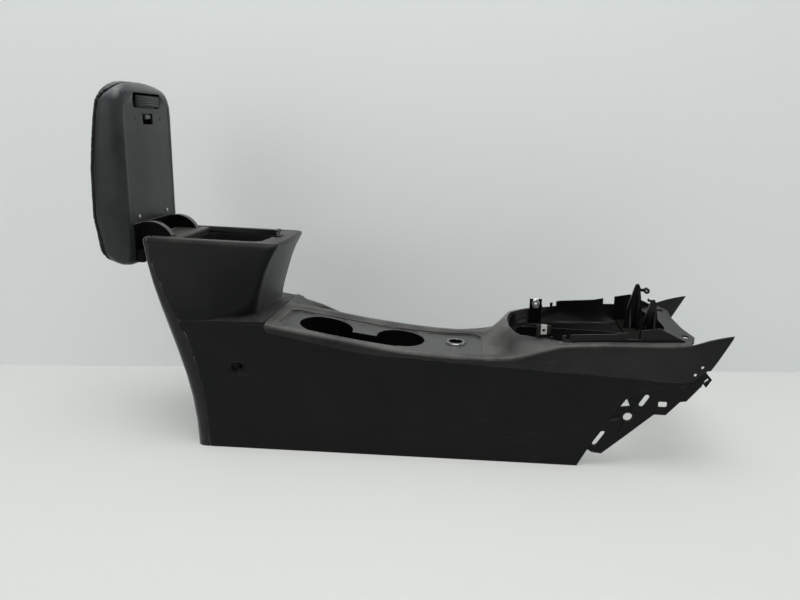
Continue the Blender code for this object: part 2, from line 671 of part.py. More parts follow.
def finisher_section(x):
    """Section of the finisher across the car, from the near seam to the far one."""
    def skirt(side):
        low = seam(side, x) + SEAM / 2
        lip = near_lip(x) - (far_lip_drop(x) if side > 0 else 0.0)
        slim = 1 - blend(0.69, 0.71, x)
        outer = side_half(x, lip)
        inset = 0.0035 - 0.0015 * blend(0.44, 0.5, x)
        points = [(side_half(x, low), low), (side_half(x, (low + lip) / 2) - 0.0002, (low + lip) / 2),
                  (outer - 0.0005, lip - 0.0065), (outer - 0.001 - inset * 0.4, lip - 0.0022),
                  (outer - 0.0026 - inset - 0.001 * slim, lip)]
        return [(x, side * y, z) for y, z in points]
    across = [(x, y, deck_height(x, y)) for y in DECK_LINES]
    return skirt(-1) + across + skirt(1)[::-1]


def top_finisher(mat, parent):
    """Painted top: the deck, the handbrake trough, the collar of the shift opening and the two ears."""
    sections = [finisher_section(x) for x in DECK_STATIONS]
    finisher = add_object("top_finisher", skin(sections, flip=True), mat, parent)
    thicken(finisher, WALL)
    ear = [(FINISHER_REAR, 0.09), (EAR_ROOT[0] - SEAM, 0.09), EAR_ROOT, (0.728, 0.1548), (0.7356, 0.1681),
           EAR_TIP, (EAR_TIP[0] - 0.0005, 0.25), (FINISHER_REAR, 0.25)]
    apply_tool(finisher, "INTERSECT", prism(ear, "Y", -REACH, REACH))
    inside = side_half(0.702, BELT_Z) - WALL
    opening = shift_outline() + [(0.702, inside), (0.8, inside), (0.8, -inside), (0.702, -inside)]
    cut(finisher, prism(opening, "Z", 0.1, 0.26),
        prism(tray_outline(GAP), "Z", 0.12, 0.26),
        prism(rounded_rect((SLOT_REAR, SLOT_FRONT), (SLOT_NEAR, SLOT_FAR), 0.012, 4), "Z", 0.1, 0.26))
    for side in (-1, 1):
        reach = sorted((side * (BELT_HALF - 0.015), side * REACH))
        center = corner_center(side)
        corner = [(0.08, center[1] - 0.05), (center[0], center[1] - 0.05)]
        corner += arc(center, CORNER_RADIUS, 270, 180, 5) + [(0.08, center[1])]
        cut(finisher, prism(corner, "Y", *reach))
        cut(finisher, rod((0.717, 0.1587), 0.0022, "Y", *reach, sides=12),
            rod((0.7085, 0.1475), 0.0022, "Y", *reach, sides=12))
    return finisher


# Cup tray and power socket

def tray_outline(grow=0.0):
    """Outline of the tray: its far edge comes nearer towards the rear."""
    far = smooth([(TRAY_REAR, TRAY_FAR - 0.0105), (0.2, TRAY_FAR - 0.0085), (0.3, TRAY_FAR - 0.0065),
                  (0.36, TRAY_FAR - 0.0035), (TRAY_FRONT, TRAY_FAR)])
    near_front = arc((TRAY_FRONT - 0.014, TRAY_NEAR + 0.014), 0.014 + grow, -90, 0, 5)
    corner = TRAY_FRONT - 0.022
    far_front = arc((corner, far(corner) - 0.022), 0.022 + grow, 0, 90, 6)
    far_side = [(x, far(x) + grow) for x in (0.36, 0.32, 0.26, 0.2, 0.15)]
    far_rear = arc((TRAY_REAR + 0.014, far(TRAY_REAR + 0.014) - 0.014), 0.014 + grow, 90, 180, 5)
    near_rear = arc((TRAY_REAR + 0.012, TRAY_NEAR + 0.012), 0.012 + grow, 180, 270, 4)
    return near_front + far_front + far_side + far_rear + near_rear


def tray_floor(x):
    return near_lip(x) - TRAY_DEPTH


def cup_tray(mat, parent):
    """Dished insert with two cups, the finger channel between them and the socket's hole."""
    stations = spread(TRAY_REAR - 0.01, TRAY_FRONT + 0.01, 18)
    sheet = [[(x, y, near_lip(x) - 0.0012) for y in (TRAY_NEAR - 0.02, TRAY_FAR + 0.05)] for x in stations]
    tray = add_object("cup_tray", skin(sheet, flip=True), mat, parent)
    thicken(tray, TRAY_DEPTH + TRAY_WALL)
    apply_tool(tray, "INTERSECT", prism(tray_outline(), "Z", 0.1, 0.26))
    dish = [[(x, y, tray_floor(x)) for y in (TRAY_NEAR - 0.02, TRAY_FAR + 0.05)] for x in stations]
    hollow = make_tool(tray, skin(dish))
    thicken(hollow, 0.03)
    apply_tool(hollow, "INTERSECT", prism(tray_outline(-0.0022), "Z", 0.1, 0.26))
    for x, y, radius in (REAR_CUP, FRONT_CUP):
        top = tray_floor(x - radius) + 0.001
        bottom = tray_floor(x) - CUP_DEPTH
        join(tray, rod((x, y), radius + TRAY_WALL, "Z", bottom - TRAY_WALL, top, 40))
    channel_z = tray_floor(0.24) - 0.034
    channel = rounded_rect((REAR_CUP[0], FRONT_CUP[0]), (-0.088, -0.056), 0.004, 3)
    wide = rounded_rect((REAR_CUP[0], FRONT_CUP[0]), (-0.088 - TRAY_WALL, -0.056 + TRAY_WALL), 0.006, 3)
    join(tray, prism(wide, "Z", channel_z - TRAY_WALL, tray_floor(REAR_CUP[0])))
    use_tool(tray, "DIFFERENCE", hollow)
    for x, y, radius in (REAR_CUP, FRONT_CUP):
        cut(tray, rod((x, y), radius, "Z", tray_floor(x) - CUP_DEPTH, 0.25, 40))
    cut(tray, prism(channel, "Z", channel_z, 0.25),
        rod((SOCKET_X, SOCKET_Y), SOCKET_BORE + 0.002 + GAP, "Z", 0.1, 0.25, 32))
    return tray


def socket_parts(metal, plastic, parent):
    """Power socket: metal bezel, plastic barrel under it, and the contact at its floor."""
    z = tray_floor(SOCKET_X)
    lean = math.atan2(tray_floor(SOCKET_X + 0.01) - tray_floor(SOCKET_X - 0.01), 0.02)
    seat = z + 0.0006
    bore, sleeve = SOCKET_BORE, SOCKET_BORE + 0.0013
    ring = [(bore, seat - 0.004), (bore, seat + 0.0022), (bore + 0.0012, seat + 0.0028), (bore + 0.0036, seat + 0.0024),
            (bore + 0.0048, seat + 0.0008), (bore + 0.0048, seat), (sleeve, seat), (sleeve, seat - 0.004)]
    barrel_top = seat - 0.0043
    barrel = [(0.0, barrel_top - SOCKET_DEPTH), (sleeve, barrel_top - SOCKET_DEPTH), (sleeve, barrel_top),
              (bore, barrel_top), (bore, barrel_top - SOCKET_DEPTH + 0.002), (0.0, barrel_top - SOCKET_DEPTH + 0.002)]
    contact_low = barrel_top - SOCKET_DEPTH + 0.002 + GAP
    turn = Matrix.Translation((SOCKET_X, SOCKET_Y, z)) @ Matrix.Rotation(-lean, 4, "Y")
    back = Matrix.Translation((-SOCKET_X, -SOCKET_Y, -z))
    made = []
    for name, bm, mat in (("socket_bezel", turned(ring, (SOCKET_X, SOCKET_Y)), metal),
                          ("socket_barrel", closed_cup(barrel), plastic),
                          ("socket_contact", rod((SOCKET_X, SOCKET_Y), 0.0035, "Z", contact_low,
                                                 contact_low + 0.004, 16), metal)):
        bmesh.ops.transform(bm, matrix=turn @ back, verts=bm.verts)
        made.append(add_object(name, bm, mat, parent))
    return made


def closed_cup(profile):
    """Turn a cup's half section, whose first and last points lie on the axis."""
    bm = bmesh.new()
    sides = 32
    rim = [[bm.verts.new((SOCKET_X + r * math.cos(2 * math.pi * k / sides),
                          SOCKET_Y + r * math.sin(2 * math.pi * k / sides), z)) for k in range(sides)]
           for r, z in profile[1:-1]]
    for low, high in zip(rim, rim[1:]):
        for k in range(sides):
            j = (k + 1) % sides
            bm.faces.new((low[k], low[j], high[j], high[k]))
    bm.faces.new(rim[0][::-1])
    bm.faces.new(rim[-1])
    bmesh.ops.recalc_face_normals(bm, faces=bm.faces)
    return bm


# Frame of the gear shift

def shift_frame(mat, parent):
    """Black frame that lines the shift opening, with its tabs, posts and front ramp."""
    wall = shift_outline(FRAME_FIT)
    inner = shift_outline(FRAME_FIT + FRAME_LEDGE)
    rows = [[(x, y, FRAME_BOTTOM_Z) for x, y in inner], [(x, y, FRAME_BOTTOM_Z) for x, y in wall],
            [(x, y, frame_top(x) - 0.011) for x, y in wall], [(x, y, frame_top(x)) for x, y in wall]]
    frame = add_object("shift_frame", skin(rows, flip=True), mat, parent)
    thicken(frame, FRAME_WALL)
    floor = FRAME_BOTTOM_Z + 0.001
    half = SHIFT_OUTLINE[-1][1] - 0.003
    ramp = [(0.668, half - 0.0005), (0.672, 0.07), (0.686, 0.025), (0.686, -0.025), (0.672, -0.07),
            (0.668, 0.0005 - half), (0.6995, -half - 0.001), (0.708, -0.095), (0.7153, -0.073), (0.71, -0.03),
            (0.71, 0.03), (0.7153, 0.073), (0.708, 0.095), (0.6995, half + 0.001)]
    join(frame, box(BRIDGE_X, (-half, half), (floor - 0.0005, floor + 0.005)),
         prism(ramp, "Z", RAMP_Z - 0.0025, RAMP_Z),
         box((0.694, 0.6965), (-half, half), (floor - 0.0007, RAMP_Z - 0.001)))
    for side in (-1, 1):
        tab_y = sorted((side * TAB_Y, side * (TAB_Y - FRAME_WALL)))
        join(frame, box(TAB_X, tab_y, (floor, TAB_TOP)))
        post = [(0.642, floor), (0.671, floor), (0.669, 0.2), (0.6645, 0.232), (0.662, 0.2372), (0.6575, 0.2365),
                (0.6555, 0.23), (0.6475, 0.2)]
        middle = side * POST_Y
        join(frame, prism(post, "Y", middle - 0.002, middle + 0.002))
        for x, top in ((0.6515, 0.199), (0.6625, 0.22)):
            fin = [(middle - 0.013, floor), (middle + 0.013, floor), (middle + 0.0045, top), (middle - 0.0045, top)]
            join(frame, prism(fin, "X", x - 0.0008, x + 0.0008))
        wall_y = sorted((side * 0.075, side * 0.11))
        cut(frame, box((0.5165, 0.5295), wall_y, (0.1835, 0.22)), box((0.6175, 0.6355), wall_y, (0.191, 0.22)),
            box((0.534, 0.54), wall_y, (0.186, 0.22)))
        cut(frame, rod(TAB_HOLE, 0.0032, "Y", *sorted((side * 0.06, side * 0.095)), sides=16))
        cut(frame, prism(rounded_rect((0.699, 0.7075), sorted((side * 0.064, side * 0.077)), 0.002, 3),
                         "Z", RAMP_Z - 0.01, RAMP_Z + 0.01))
    boss = (0.6745, 0.2265)
    arm = slot_outline((0.663, 0.228), boss, 0.0022, 4)
    middle = POST_Y
    join(frame, prism(arm, "Y", middle - 0.0012, middle + 0.0013), rod(boss, 0.0045, "Y", middle - 0.004, middle + 0.004, 16))
    cut(frame, rod(boss, 0.002, "Y", middle - 0.006, middle + 0.006, 12))
    hook = [(0.6585, 0.2335), (0.6525, 0.2345), (0.652, 0.2385), (0.654, 0.2388), (0.6548, 0.2368), (0.6585, 0.237)]
    join(frame, prism(hook, "Y", -middle - 0.0012, -middle + 0.0013))
    return frame


def spring_nut(name, side, mat, parent):
    """Sheet-metal clip folded over a tab of the frame, with the collar that takes a screw."""
    sheet = 0.0008
    near, far = TAB_Y - FRAME_WALL - GAP, TAB_Y + GAP
    low, top = TAB_HOLE[1] - 0.0075, TAB_TOP + GAP
    fold = [(near - sheet, low), (near, low), (near, top), (far, top), (far, low + 0.002), (far + sheet, low + 0.002),
            (far + sheet, top + sheet), (near - sheet, top + sheet)]
    outline = [(side * y, z) for y, z in fold]
    middle = (TAB_X[0] + TAB_X[1]) / 2
    nut = add_object(name, prism(outline, "X", middle - 0.0042, middle + 0.0042), mat, parent)
    collar = sorted((side * (near - sheet - 0.0016), side * (near - sheet / 2)))
    join(nut, rod(TAB_HOLE, 0.0066, "Y", *collar, sides=20))
    cut(nut, rod(TAB_HOLE, 0.0027, "Y", *sorted((side * 0.06, side * 0.095)), sides=16))
    return nut


# Armrest lid

UNDER_V = (deck_top(HINGE_X) - HINGE_Z) * math.cos(DECK_SLOPE) + LID_CLEARANCE
lid_top = smooth(LID_TOP)


def lid_outline(grow, front):
    """Outline of the lid in plan, grown outwards from its flat underside, with its front end at front."""
    nose = LID_FRONT - LID_NOSE
    length = front - nose
    rear = LID_REAR - REAR_GROWTH * grow

    def half(u):
        return LID_HALF_REAR + (LID_HALF_FRONT - LID_HALF_REAR) * (u - LID_REAR) / (LID_FRONT - LID_REAR) + grow
    side = []
    for turn in (12, 25, 38, 50, 62, 75, 90):
        along = math.cos(math.radians(turn)) if turn < 90 else 0.0
        side.append((nose + length * along ** (2 / NOSE_POWER),
                     half(nose) * math.sin(math.radians(turn)) ** (2 / NOSE_POWER)))
    side += [(u, half(u)) for u in (0.16, 0.12, 0.08, 0.04)]
    side += arc((rear + LID_CORNER, half(rear + LID_CORNER) - LID_CORNER), LID_CORNER, 90, 180, 5)
    return [(nose + length, 0.0)] + side + [(u, -y) for u, y in side[::-1]]


def shell_height(u, share):
    """Height on the lid's shell, where share is 0 at its underside and 1 at its rim."""
    return UNDER_V + share * (0.93 - 0.54 * blend(0.21, 0.243, u)) * (lid_top(u) - UNDER_V)


def close_across(bm, ring, down):
    """Close a ring of the lid with strips that run from side to side, each of them flat."""
    last = len(ring) - 1
    strips = [(ring[0], ring[1], ring[last])]
    for i in range(1, len(ring) // 2):
        strips.append((ring[i], ring[i + 1], ring[last - i], ring[last - i + 1]))
    for corners in strips:
        bm.faces.new(corners[::-1] if down else corners)


def domed(rings):
    """Join rings of the lid's outline and close both ends along the lid's curved length."""
    bm = bmesh.new()
    loops = [[bm.verts.new(p) for p in ring] for ring in rings]
    for low, high in zip(loops, loops[1:]):
        for i in range(len(low)):
            j = (i + 1) % len(low)
            bm.faces.new((low[i], low[j], high[j], high[i]))
    close_across(bm, loops[0], True)
    close_across(bm, loops[-1], False)
    bmesh.ops.recalc_face_normals(bm, faces=bm.faces)
    return split_bent(bm)


def lid_inner_panel(mat, parent):
    """Deep hard shell of the lid, with the latch's window and the striker's hole in its underside."""
    outer = [[(u, y, shell_height(u, share)) for u, y in lid_outline(grow, front)] for share, grow, front in SHELL]
    inner = [[(u, y, shell_height(u, share)) for u, y in lid_outline(grow - WALL, front - WALL)]
             for share, grow, front in SHELL[:2:-1]]
    floor_v = UNDER_V + WALL + FLAT_DEPTH
    flat = [[(u, y, v) for u, y in lid_outline(grow, LID_FRONT + grow)]
            for grow, v in ((-0.0045, UNDER_V + FLAT_DEPTH), (-0.0036, UNDER_V))]
    floor = [[(u, y, floor_v) for u, y in lid_outline(SHELL[1][1] - WALL, LID_FRONT)]]
    panel = add_object("lid_inner_panel", loft(flat + outer + inner + floor), mat, parent)
    window = rounded_rect(WINDOW_U, (-BUTTON_HALF - 0.0006, BUTTON_HALF + 0.0006), 0.004, 3)
    through = (UNDER_V - 0.01, floor_v + 0.001)
    cut(panel, prism(window, "Z", *through), box(HOLE_U, (-HOLE_HALF, HOLE_HALF), through))
    pivot_u, pivot_v = LATCH_PIVOT
    for side in (-1, 1):
        middle = side * 0.034
        post = [(pivot_u - 0.0045, floor_v - 0.001), (pivot_u + 0.0045, floor_v - 0.001),
                (pivot_u + 0.0035, pivot_v + 0.003), (pivot_u - 0.0035, pivot_v + 0.003)]
        join(panel, prism(post, "Y", middle - 0.0015, middle + 0.0015))
        cut(panel, rod(LATCH_PIVOT, 0.0015 + GAP, "Y", middle - 0.002, middle + 0.002, 12),
            rod((ARM_SCREW[0], side * ARM_SCREW[1]), SCREW_SHANK + GAP, "Z", *through, sides=12),
            rod((0.189, side * 0.038), 0.0022, "Z", UNDER_V - 0.01, UNDER_V + FLAT_DEPTH + 0.0007, 12))
    return panel


def lid_core(mat, parent):
    """Hard plate that the padding is drawn over; it closes the shell's rim."""
    rings = [[(u, y, shell_height(u, 1.0) + lift) for u, y in lid_outline(SHELL[-1][1] - 0.0015, SHELL[-1][2] - 0.0015)]
             for lift in (GAP, GAP + CORE_PLATE)]
    return add_object("lid_core", domed(rings), mat, parent)


def lid_cushion(mat, parent):
    """Padded outer cover of the lid as one plain solid."""
    rings = []
    for share, grow, front, dome in PAD:
        ring = []
        for u, y in lid_outline(grow, front):
            low = shell_height(u, 1.0) + CORE_PLATE + 2 * GAP + 0.0006 * blend(0.19, 0.205, u)
            high = max(lid_top(u), low + 0.001)
            ring.append((u, y, low + share * (high - low) + dome * (1 - blend(0.15, 0.23, u))))
        rings.append(ring)
    return add_object("lid_cushion", domed(rings), mat, parent)


def hinge_bracket(mat, parent):
    """Bracket under the lid's rear end: plate, cross bar, and two arms that dip through the deck."""
    plate_top = UNDER_V - GAP
    plate_low = plate_top - 0.0016
    bar = box((LID_REAR, -0.0075), (-BRACKET_HALF - 0.002, BRACKET_HALF + 0.002), (0.0068, plate_low + 0.0004))
    plate = rounded_rect((LID_REAR, BRACKET_FRONT), (-BRACKET_HALF, BRACKET_HALF), 0.003, 3)
    bracket = add_object("hinge_bracket", prism(plate, "Z", plate_low, plate_top), mat, parent)
    join(bracket, bar)
    top = plate_low + 0.0006
    stop = math.degrees(math.asin(top / ARM_OUTER))
    arm = arc((0, 0), ARM_HUB, 180, 315, 8) + arc((0, 0), ARM_OUTER, -68, stop, 15) + [(-ARM_HUB, top)]
    web = ([(0.0158, -0.0278)] + arc((0, 0), ARM_OUTER - 0.004, -56, 21, 10)
           + [(0.0299, 0.0135), (0.0045, 0.0135)] + arc((0, 0), 0.0098, 60, -20, 5))
    for side in (-1, 1):
        low, high = side * ARM_Y - ARM_WIDTH / 2, side * ARM_Y + ARM_WIDTH / 2
        join(bracket, prism(arm, "Y", low, high))
        cut(bracket, prism(web, "Y", low - 0.001, low + 0.0015), prism(web, "Y", high - 0.0015, high + 0.001),
            rod((0, 0), PIN_RADIUS + PIN_CLEARANCE, "Y", low - 0.001, high + 0.001, 16))
    return bracket


def arm_screw(name, side, mat, parent):
    """Button-head screw beside the bracket."""
    seat = UNDER_V + FLAT_DEPTH - GAP
    rings = [(0.0024, seat - 0.0014), (0.0032, seat - 0.0009), (0.0032, seat),
             (SCREW_SHANK, seat), (SCREW_SHANK, seat + 0.006)]
    center = (ARM_SCREW[0], side * ARM_SCREW[1])
    return add_object(name, loft([[(u, y, v) for u, y in disc(center, r, 12)] for r, v in rings]), mat, parent)


def latch_button(mat, parent):
    """Ribbed paddle, its pivot tube and the hook, moulded as one; its frame lies on the pivot."""
    pivot_u, pivot_v = LATCH_PIVOT
    rear, front = BUTTON_U[0] - pivot_u, BUTTON_U[1] - pivot_u
    nose = UNDER_V - pivot_v
    face = nose - 0.001
    paddle = rounded_rect((rear, front), (-BUTTON_HALF, BUTTON_HALF), 0.0036, 3)
    button = add_object("latch_button", prism(paddle, "Z", face, face + 0.003), mat, parent)
    for u in spread(rear + 0.0046, front - 0.0026, 4):
        across = spread(-1.0, 1.0, 9)
        reach = BUTTON_HALF - 0.006
        crest = [(u - 0.0016 * t * t + 0.0007 * (1 - 0.7 * t * t), reach * t) for t in across]
        root = [(u - 0.0016 * t * t - 0.0007 * (1 - 0.7 * t * t), reach * t) for t in across[::-1]]
        join(button, prism(crest + root, "Z", face - 0.0008, face + 0.0004))
    web = [(rear + 0.0004, face + 0.0025), (rear + 0.0024, face + 0.0025), (rear + 0.0024, -0.001),
           (0.001, 0.0025), (0.0, 0.0)]
    hook = [(-0.002, 0.001), (-0.0082, -0.006), (-0.0082, nose + 0.0022), (-0.0115, nose + 0.0018),
            (-0.0103, nose), (-0.0052, nose), (-0.0045, -0.006), (0.002, -0.001)]
    join(button, prism(web, "Y", -0.03, 0.03), rod((0, 0), 0.0034, "Y", -0.0315, 0.0315, 16),
         prism(hook, "Y", -0.007, 0.007))
    cut(button, rod((0, 0), 0.0015 + PIN_CLEARANCE, "Y", -0.04, 0.04, 12))
    return button


# The whole console

def build():
    for obj in list(bpy.data.objects):
        bpy.data.objects.remove(obj)
    side_plastic = material("side_plastic", (0.02, 0.022, 0.02), 0.55)
    deck_plastic = material("deck_plastic", (0.045, 0.049, 0.047), 0.42)
    tray_plastic = material("tray_plastic", (0.05, 0.054, 0.053), 0.45)
    frame_plastic = material("frame_plastic", (0.008, 0.008, 0.008), 0.35)
    tub_plastic = material("tub_plastic", (0.01, 0.01, 0.011), 0.6)
    lid_plastic = material("lid_plastic", (0.04, 0.042, 0.042), 0.5)
    lid_vinyl = material("lid_vinyl", (0.025, 0.027, 0.027), 0.6)
    zinc = material("zinc", (0.6, 0.6, 0.57), 0.35, 0.9)
    chrome = material("chrome", (0.75, 0.75, 0.73), 0.2, 1.0)

    console = bpy.data.objects.new("console", None)
    lid = bpy.data.objects.new("lid", None)
    latch = bpy.data.objects.new("latch", None)
    for empty in (console, lid, latch):
        bpy.context.scene.collection.objects.link(empty)
    lid.parent = console
    lid.location = (HINGE_X, 0.0, HINGE_Z)
    lid.rotation_euler.y = DECK_SLOPE - LID_OPEN
    latch.parent = lid
    latch.location = (LATCH_PIVOT[0], 0.0, LATCH_PIVOT[1])

    side_panel("side_panel_right", -1, side_plastic, console)
    side_panel("side_panel_left", 1, side_plastic, console)
    bin_surround(side_plastic, console)
    rear_cover(side_plastic, console)
    rear_deck(deck_plastic, console)
    bin_tub(tub_plastic, console)
    striker(frame_plastic, console)
    top_finisher(deck_plastic, console)
    cup_tray(tray_plastic, console)
    socket_parts(chrome, tub_plastic, console)
    shift_frame(frame_plastic, console)
    spring_nut("spring_nut_right", -1, zinc, console)
    spring_nut("spring_nut_left", 1, zinc, console)
    for side, name in ((-1, "hinge_pin_right"), (1, "hinge_pin_left")):
        y = sorted((side * ARM_Y - 0.0112, side * ARM_Y + 0.0112))
        add_object(name, rod((HINGE_X, HINGE_Z), PIN_RADIUS, "Y", *y, sides=16), zinc, console)

    lid_inner_panel(lid_plastic, lid)
    lid_core(frame_plastic, lid)
    cushion = lid_cushion(lid_vinyl, lid)
    hinge_bracket(frame_plastic, lid)
    arm_screw("arm_screw_right", -1, zinc, lid)
    arm_screw("arm_screw_left", 1, zinc, lid)
    latch_button(frame_plastic, latch)
    add_object("latch_pin", rod(LATCH_PIVOT, 0.0015, "Y", -0.0365, 0.0365, sides=12), zinc, lid)

    rear_end = min((lid.matrix_basis @ vertex.co).x for vertex in cushion.data.vertices)
    console.location.x = -(rear_end + EAR_TIP[0]) / 2


build()
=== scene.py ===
"""The center console, finished for a picture: its solids get soft edges, grain, wear and padding.

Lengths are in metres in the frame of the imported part: +X forward along the car, +Y to the car's left,
+Z up, with the floor at 0. The variable datum is the place of the rear cover's seam at the floor, which
the part's own measures along X start from.
"""
import math

import bmesh
import bpy
from mathutils import Matrix, Vector


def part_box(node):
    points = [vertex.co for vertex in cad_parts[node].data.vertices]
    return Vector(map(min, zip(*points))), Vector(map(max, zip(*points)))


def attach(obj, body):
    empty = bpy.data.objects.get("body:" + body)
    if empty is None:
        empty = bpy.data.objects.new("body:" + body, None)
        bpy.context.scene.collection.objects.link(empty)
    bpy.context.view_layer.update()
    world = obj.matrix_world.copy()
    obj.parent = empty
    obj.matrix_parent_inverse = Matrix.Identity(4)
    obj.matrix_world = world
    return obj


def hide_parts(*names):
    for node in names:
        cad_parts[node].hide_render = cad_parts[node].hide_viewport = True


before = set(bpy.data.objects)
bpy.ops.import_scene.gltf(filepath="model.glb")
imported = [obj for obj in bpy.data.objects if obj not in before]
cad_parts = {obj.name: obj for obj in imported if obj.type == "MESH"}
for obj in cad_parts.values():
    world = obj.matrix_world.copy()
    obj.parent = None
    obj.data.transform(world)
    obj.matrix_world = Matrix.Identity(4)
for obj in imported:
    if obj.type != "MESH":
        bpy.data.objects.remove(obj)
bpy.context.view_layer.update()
EAR_TIP_X = 0.7545
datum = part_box("top_finisher")[1].x - EAR_TIP_X


# Lower sides. Each is one long injection moulding of charcoal polypropylene with a fine grain, which
# clips to its neighbours along the seams and is screwed to the car through the recess near the rear and
# the bracket at the front.

class Nodes:
    """Adds shader nodes to a tree and links them."""

    def __init__(self, tree):
        self.tree = tree

    def add(self, kind, links=None, **settings):
        node = self.tree.nodes.new("ShaderNode" + kind)
        for key, value in settings.items():
            setattr(node, key, value)
        for name, value in (links or {}).items():
            if isinstance(value, bpy.types.NodeSocket):
                self.tree.links.new(value, node.inputs[name])
            else:
                node.inputs[name].default_value = value
        return node

    def math(self, operation, a, b=0.0, clamp=False):
        node = self.add("Math", {0: a, 1: b}, operation=operation, use_clamp=clamp)
        return node.outputs[0]

    def ramp(self, value, low, high, to_low=0.0, to_high=1.0):
        node = self.add("MapRange", {"Value": value, "From Min": low, "From Max": high,
                                     "To Min": to_low, "To Max": to_high}, clamp=True)
        return node.outputs["Result"]

    def mix(self, factor, a, b):
        node = self.add("Mix", data_type="RGBA", clamp_factor=True)
        for socket, value in ((node.inputs[0], factor), (node.inputs[6], a), (node.inputs[7], b)):
            if isinstance(value, bpy.types.NodeSocket):
                self.tree.links.new(value, socket)
            else:
                socket.default_value = (*value, 1.0) if isinstance(value, tuple) else value
        return node.outputs[2]


def effect(name, inputs, outputs):
    """Start a node group that several finishes share."""
    group = bpy.data.node_groups.new(name, "ShaderNodeTree")
    for label, value in inputs.items():
        group.interface.new_socket(label, in_out="INPUT", socket_type="NodeSocketFloat").default_value = value
    for label in outputs:
        group.interface.new_socket(label, in_out="OUTPUT", socket_type="NodeSocketFloat")
    nodes = Nodes(group)
    return group, nodes, group.nodes.new("NodeGroupInput"), group.nodes.new("NodeGroupOutput")


def build_grain():
    """Moulded-in grain: small pebbles of uneven height with finer roughness between them."""
    group, nodes, given, out = effect("moulded grain", {"Size": 0.0011, "Unevenness": 0.4},
                                      ["Height", "Tone"])
    place = nodes.add("TexCoord").outputs["Object"]
    density = nodes.math("DIVIDE", 1.0, given.outputs["Size"])
    pebbles = nodes.add("TexVoronoi", {"Vector": place, "Scale": density}, feature="SMOOTH_F1")
    finer = nodes.math("MULTIPLY", density, 2.3)
    fine = nodes.add("TexNoise", {"Vector": place, "Scale": finer, "Detail": 3.0})
    lift = nodes.ramp(pebbles.outputs["Distance"], 0.1, 0.7, 1.0, 0.0)
    rough = nodes.math("MULTIPLY", fine.outputs[0], given.outputs["Unevenness"])
    group.links.new(nodes.math("ADD", lift, rough), out.inputs["Height"])
    group.links.new(lift, out.inputs["Tone"])
    return group


def build_edge_wear():
    """Mask of the outer edges that hands and boxes rub bright, broken up by noise."""
    group, nodes, given, out = effect("edge wear", {"Width": 0.0012, "Patchiness": 22.0}, ["Mask"])
    place = nodes.add("TexCoord").outputs["Object"]
    soft = nodes.add("Bevel", {"Radius": given.outputs["Width"]}, samples=4)
    flat = nodes.add("NewGeometry")
    along = nodes.add("VectorMath", {0: soft.outputs[0], 1: flat.outputs["Normal"]}, operation="DOT_PRODUCT")
    edge = nodes.ramp(along.outputs["Value"], 0.995, 0.9)
    patch = nodes.add("TexNoise", {"Vector": place, "Scale": given.outputs["Patchiness"], "Detail": 5.0,
                                   "Roughness": 0.65})
    broken = nodes.ramp(patch.outputs[0], 0.42, 0.68)
    group.links.new(nodes.math("MULTIPLY", edge, broken), out.inputs["Mask"])
    return group


def build_scuffs():
    """Mask of faint rubbed streaks that run mostly along the car, in a few patches."""
    group, nodes, given, out = effect("scuffs", {"Length": 0.06, "Seed": 0.0}, ["Mask"])
    place = nodes.add("TexCoord").outputs["Object"]
    moved = nodes.add("VectorMath", {0: place, 1: given.outputs["Seed"]}, operation="ADD").outputs[0]
    long_way = nodes.math("DIVIDE", 1.0, given.outputs["Length"])
    streaks = None
    for turn, squeeze in ((0.22, 26.0), (-0.5, 34.0)):
        turned = nodes.add("Mapping", {"Vector": moved, "Rotation": (0.0, turn, turn),
                                       "Scale": (1.0, squeeze, squeeze)})
        lines = nodes.add("TexNoise", {"Vector": turned.outputs[0], "Scale": long_way, "Detail": 2.0})
        thin = nodes.ramp(lines.outputs[0], 0.66, 0.74)
        streaks = thin if streaks is None else nodes.math("MAXIMUM", streaks, thin)
    patch = nodes.add("TexNoise", {"Vector": moved, "Scale": 7.0, "Detail": 3.0})
    in_patches = nodes.math("MULTIPLY", streaks, nodes.ramp(patch.outputs[0], 0.5, 0.62))
    group.links.new(in_patches, out.inputs["Mask"])
    return group


def build_dust_and_top_light():
    """Mask of dust, handling film and painted top light: soft clouds and specks, strongest on faces that look
    up.
    """
    group, nodes, given, out = effect("dust_and_top_light", {"Cloud Size": 0.08}, ["Mask"])
    where = nodes.add("TexCoord")
    up = nodes.add("SeparateXYZ", {0: where.outputs["Normal"]}).outputs["Z"]
    # Faces that look up get the most: dust settles there, and the paler film there is also painted top light.
    top = nodes.ramp(up, 0.25, 0.9, 0.1, 1.0)
    cloud = nodes.add("TexNoise", {"Vector": where.outputs["Object"], "Detail": 6.0, "Roughness": 0.6,
                                   "Scale": nodes.math("DIVIDE", 1.0, given.outputs["Cloud Size"])})
    specks = nodes.add("TexNoise", {"Vector": where.outputs["Object"], "Scale": 900.0, "Detail": 1.0})
    dust_and_top_light_film = nodes.math("MULTIPLY", nodes.ramp(cloud.outputs[0], 0.35, 0.75), top)
    dots = nodes.math("MULTIPLY", nodes.ramp(specks.outputs[0], 0.7, 0.78), top)
    group.links.new(nodes.math("MAXIMUM", dust_and_top_light_film, nodes.math("MULTIPLY", dots, 0.8)), out.inputs["Mask"])
    return group


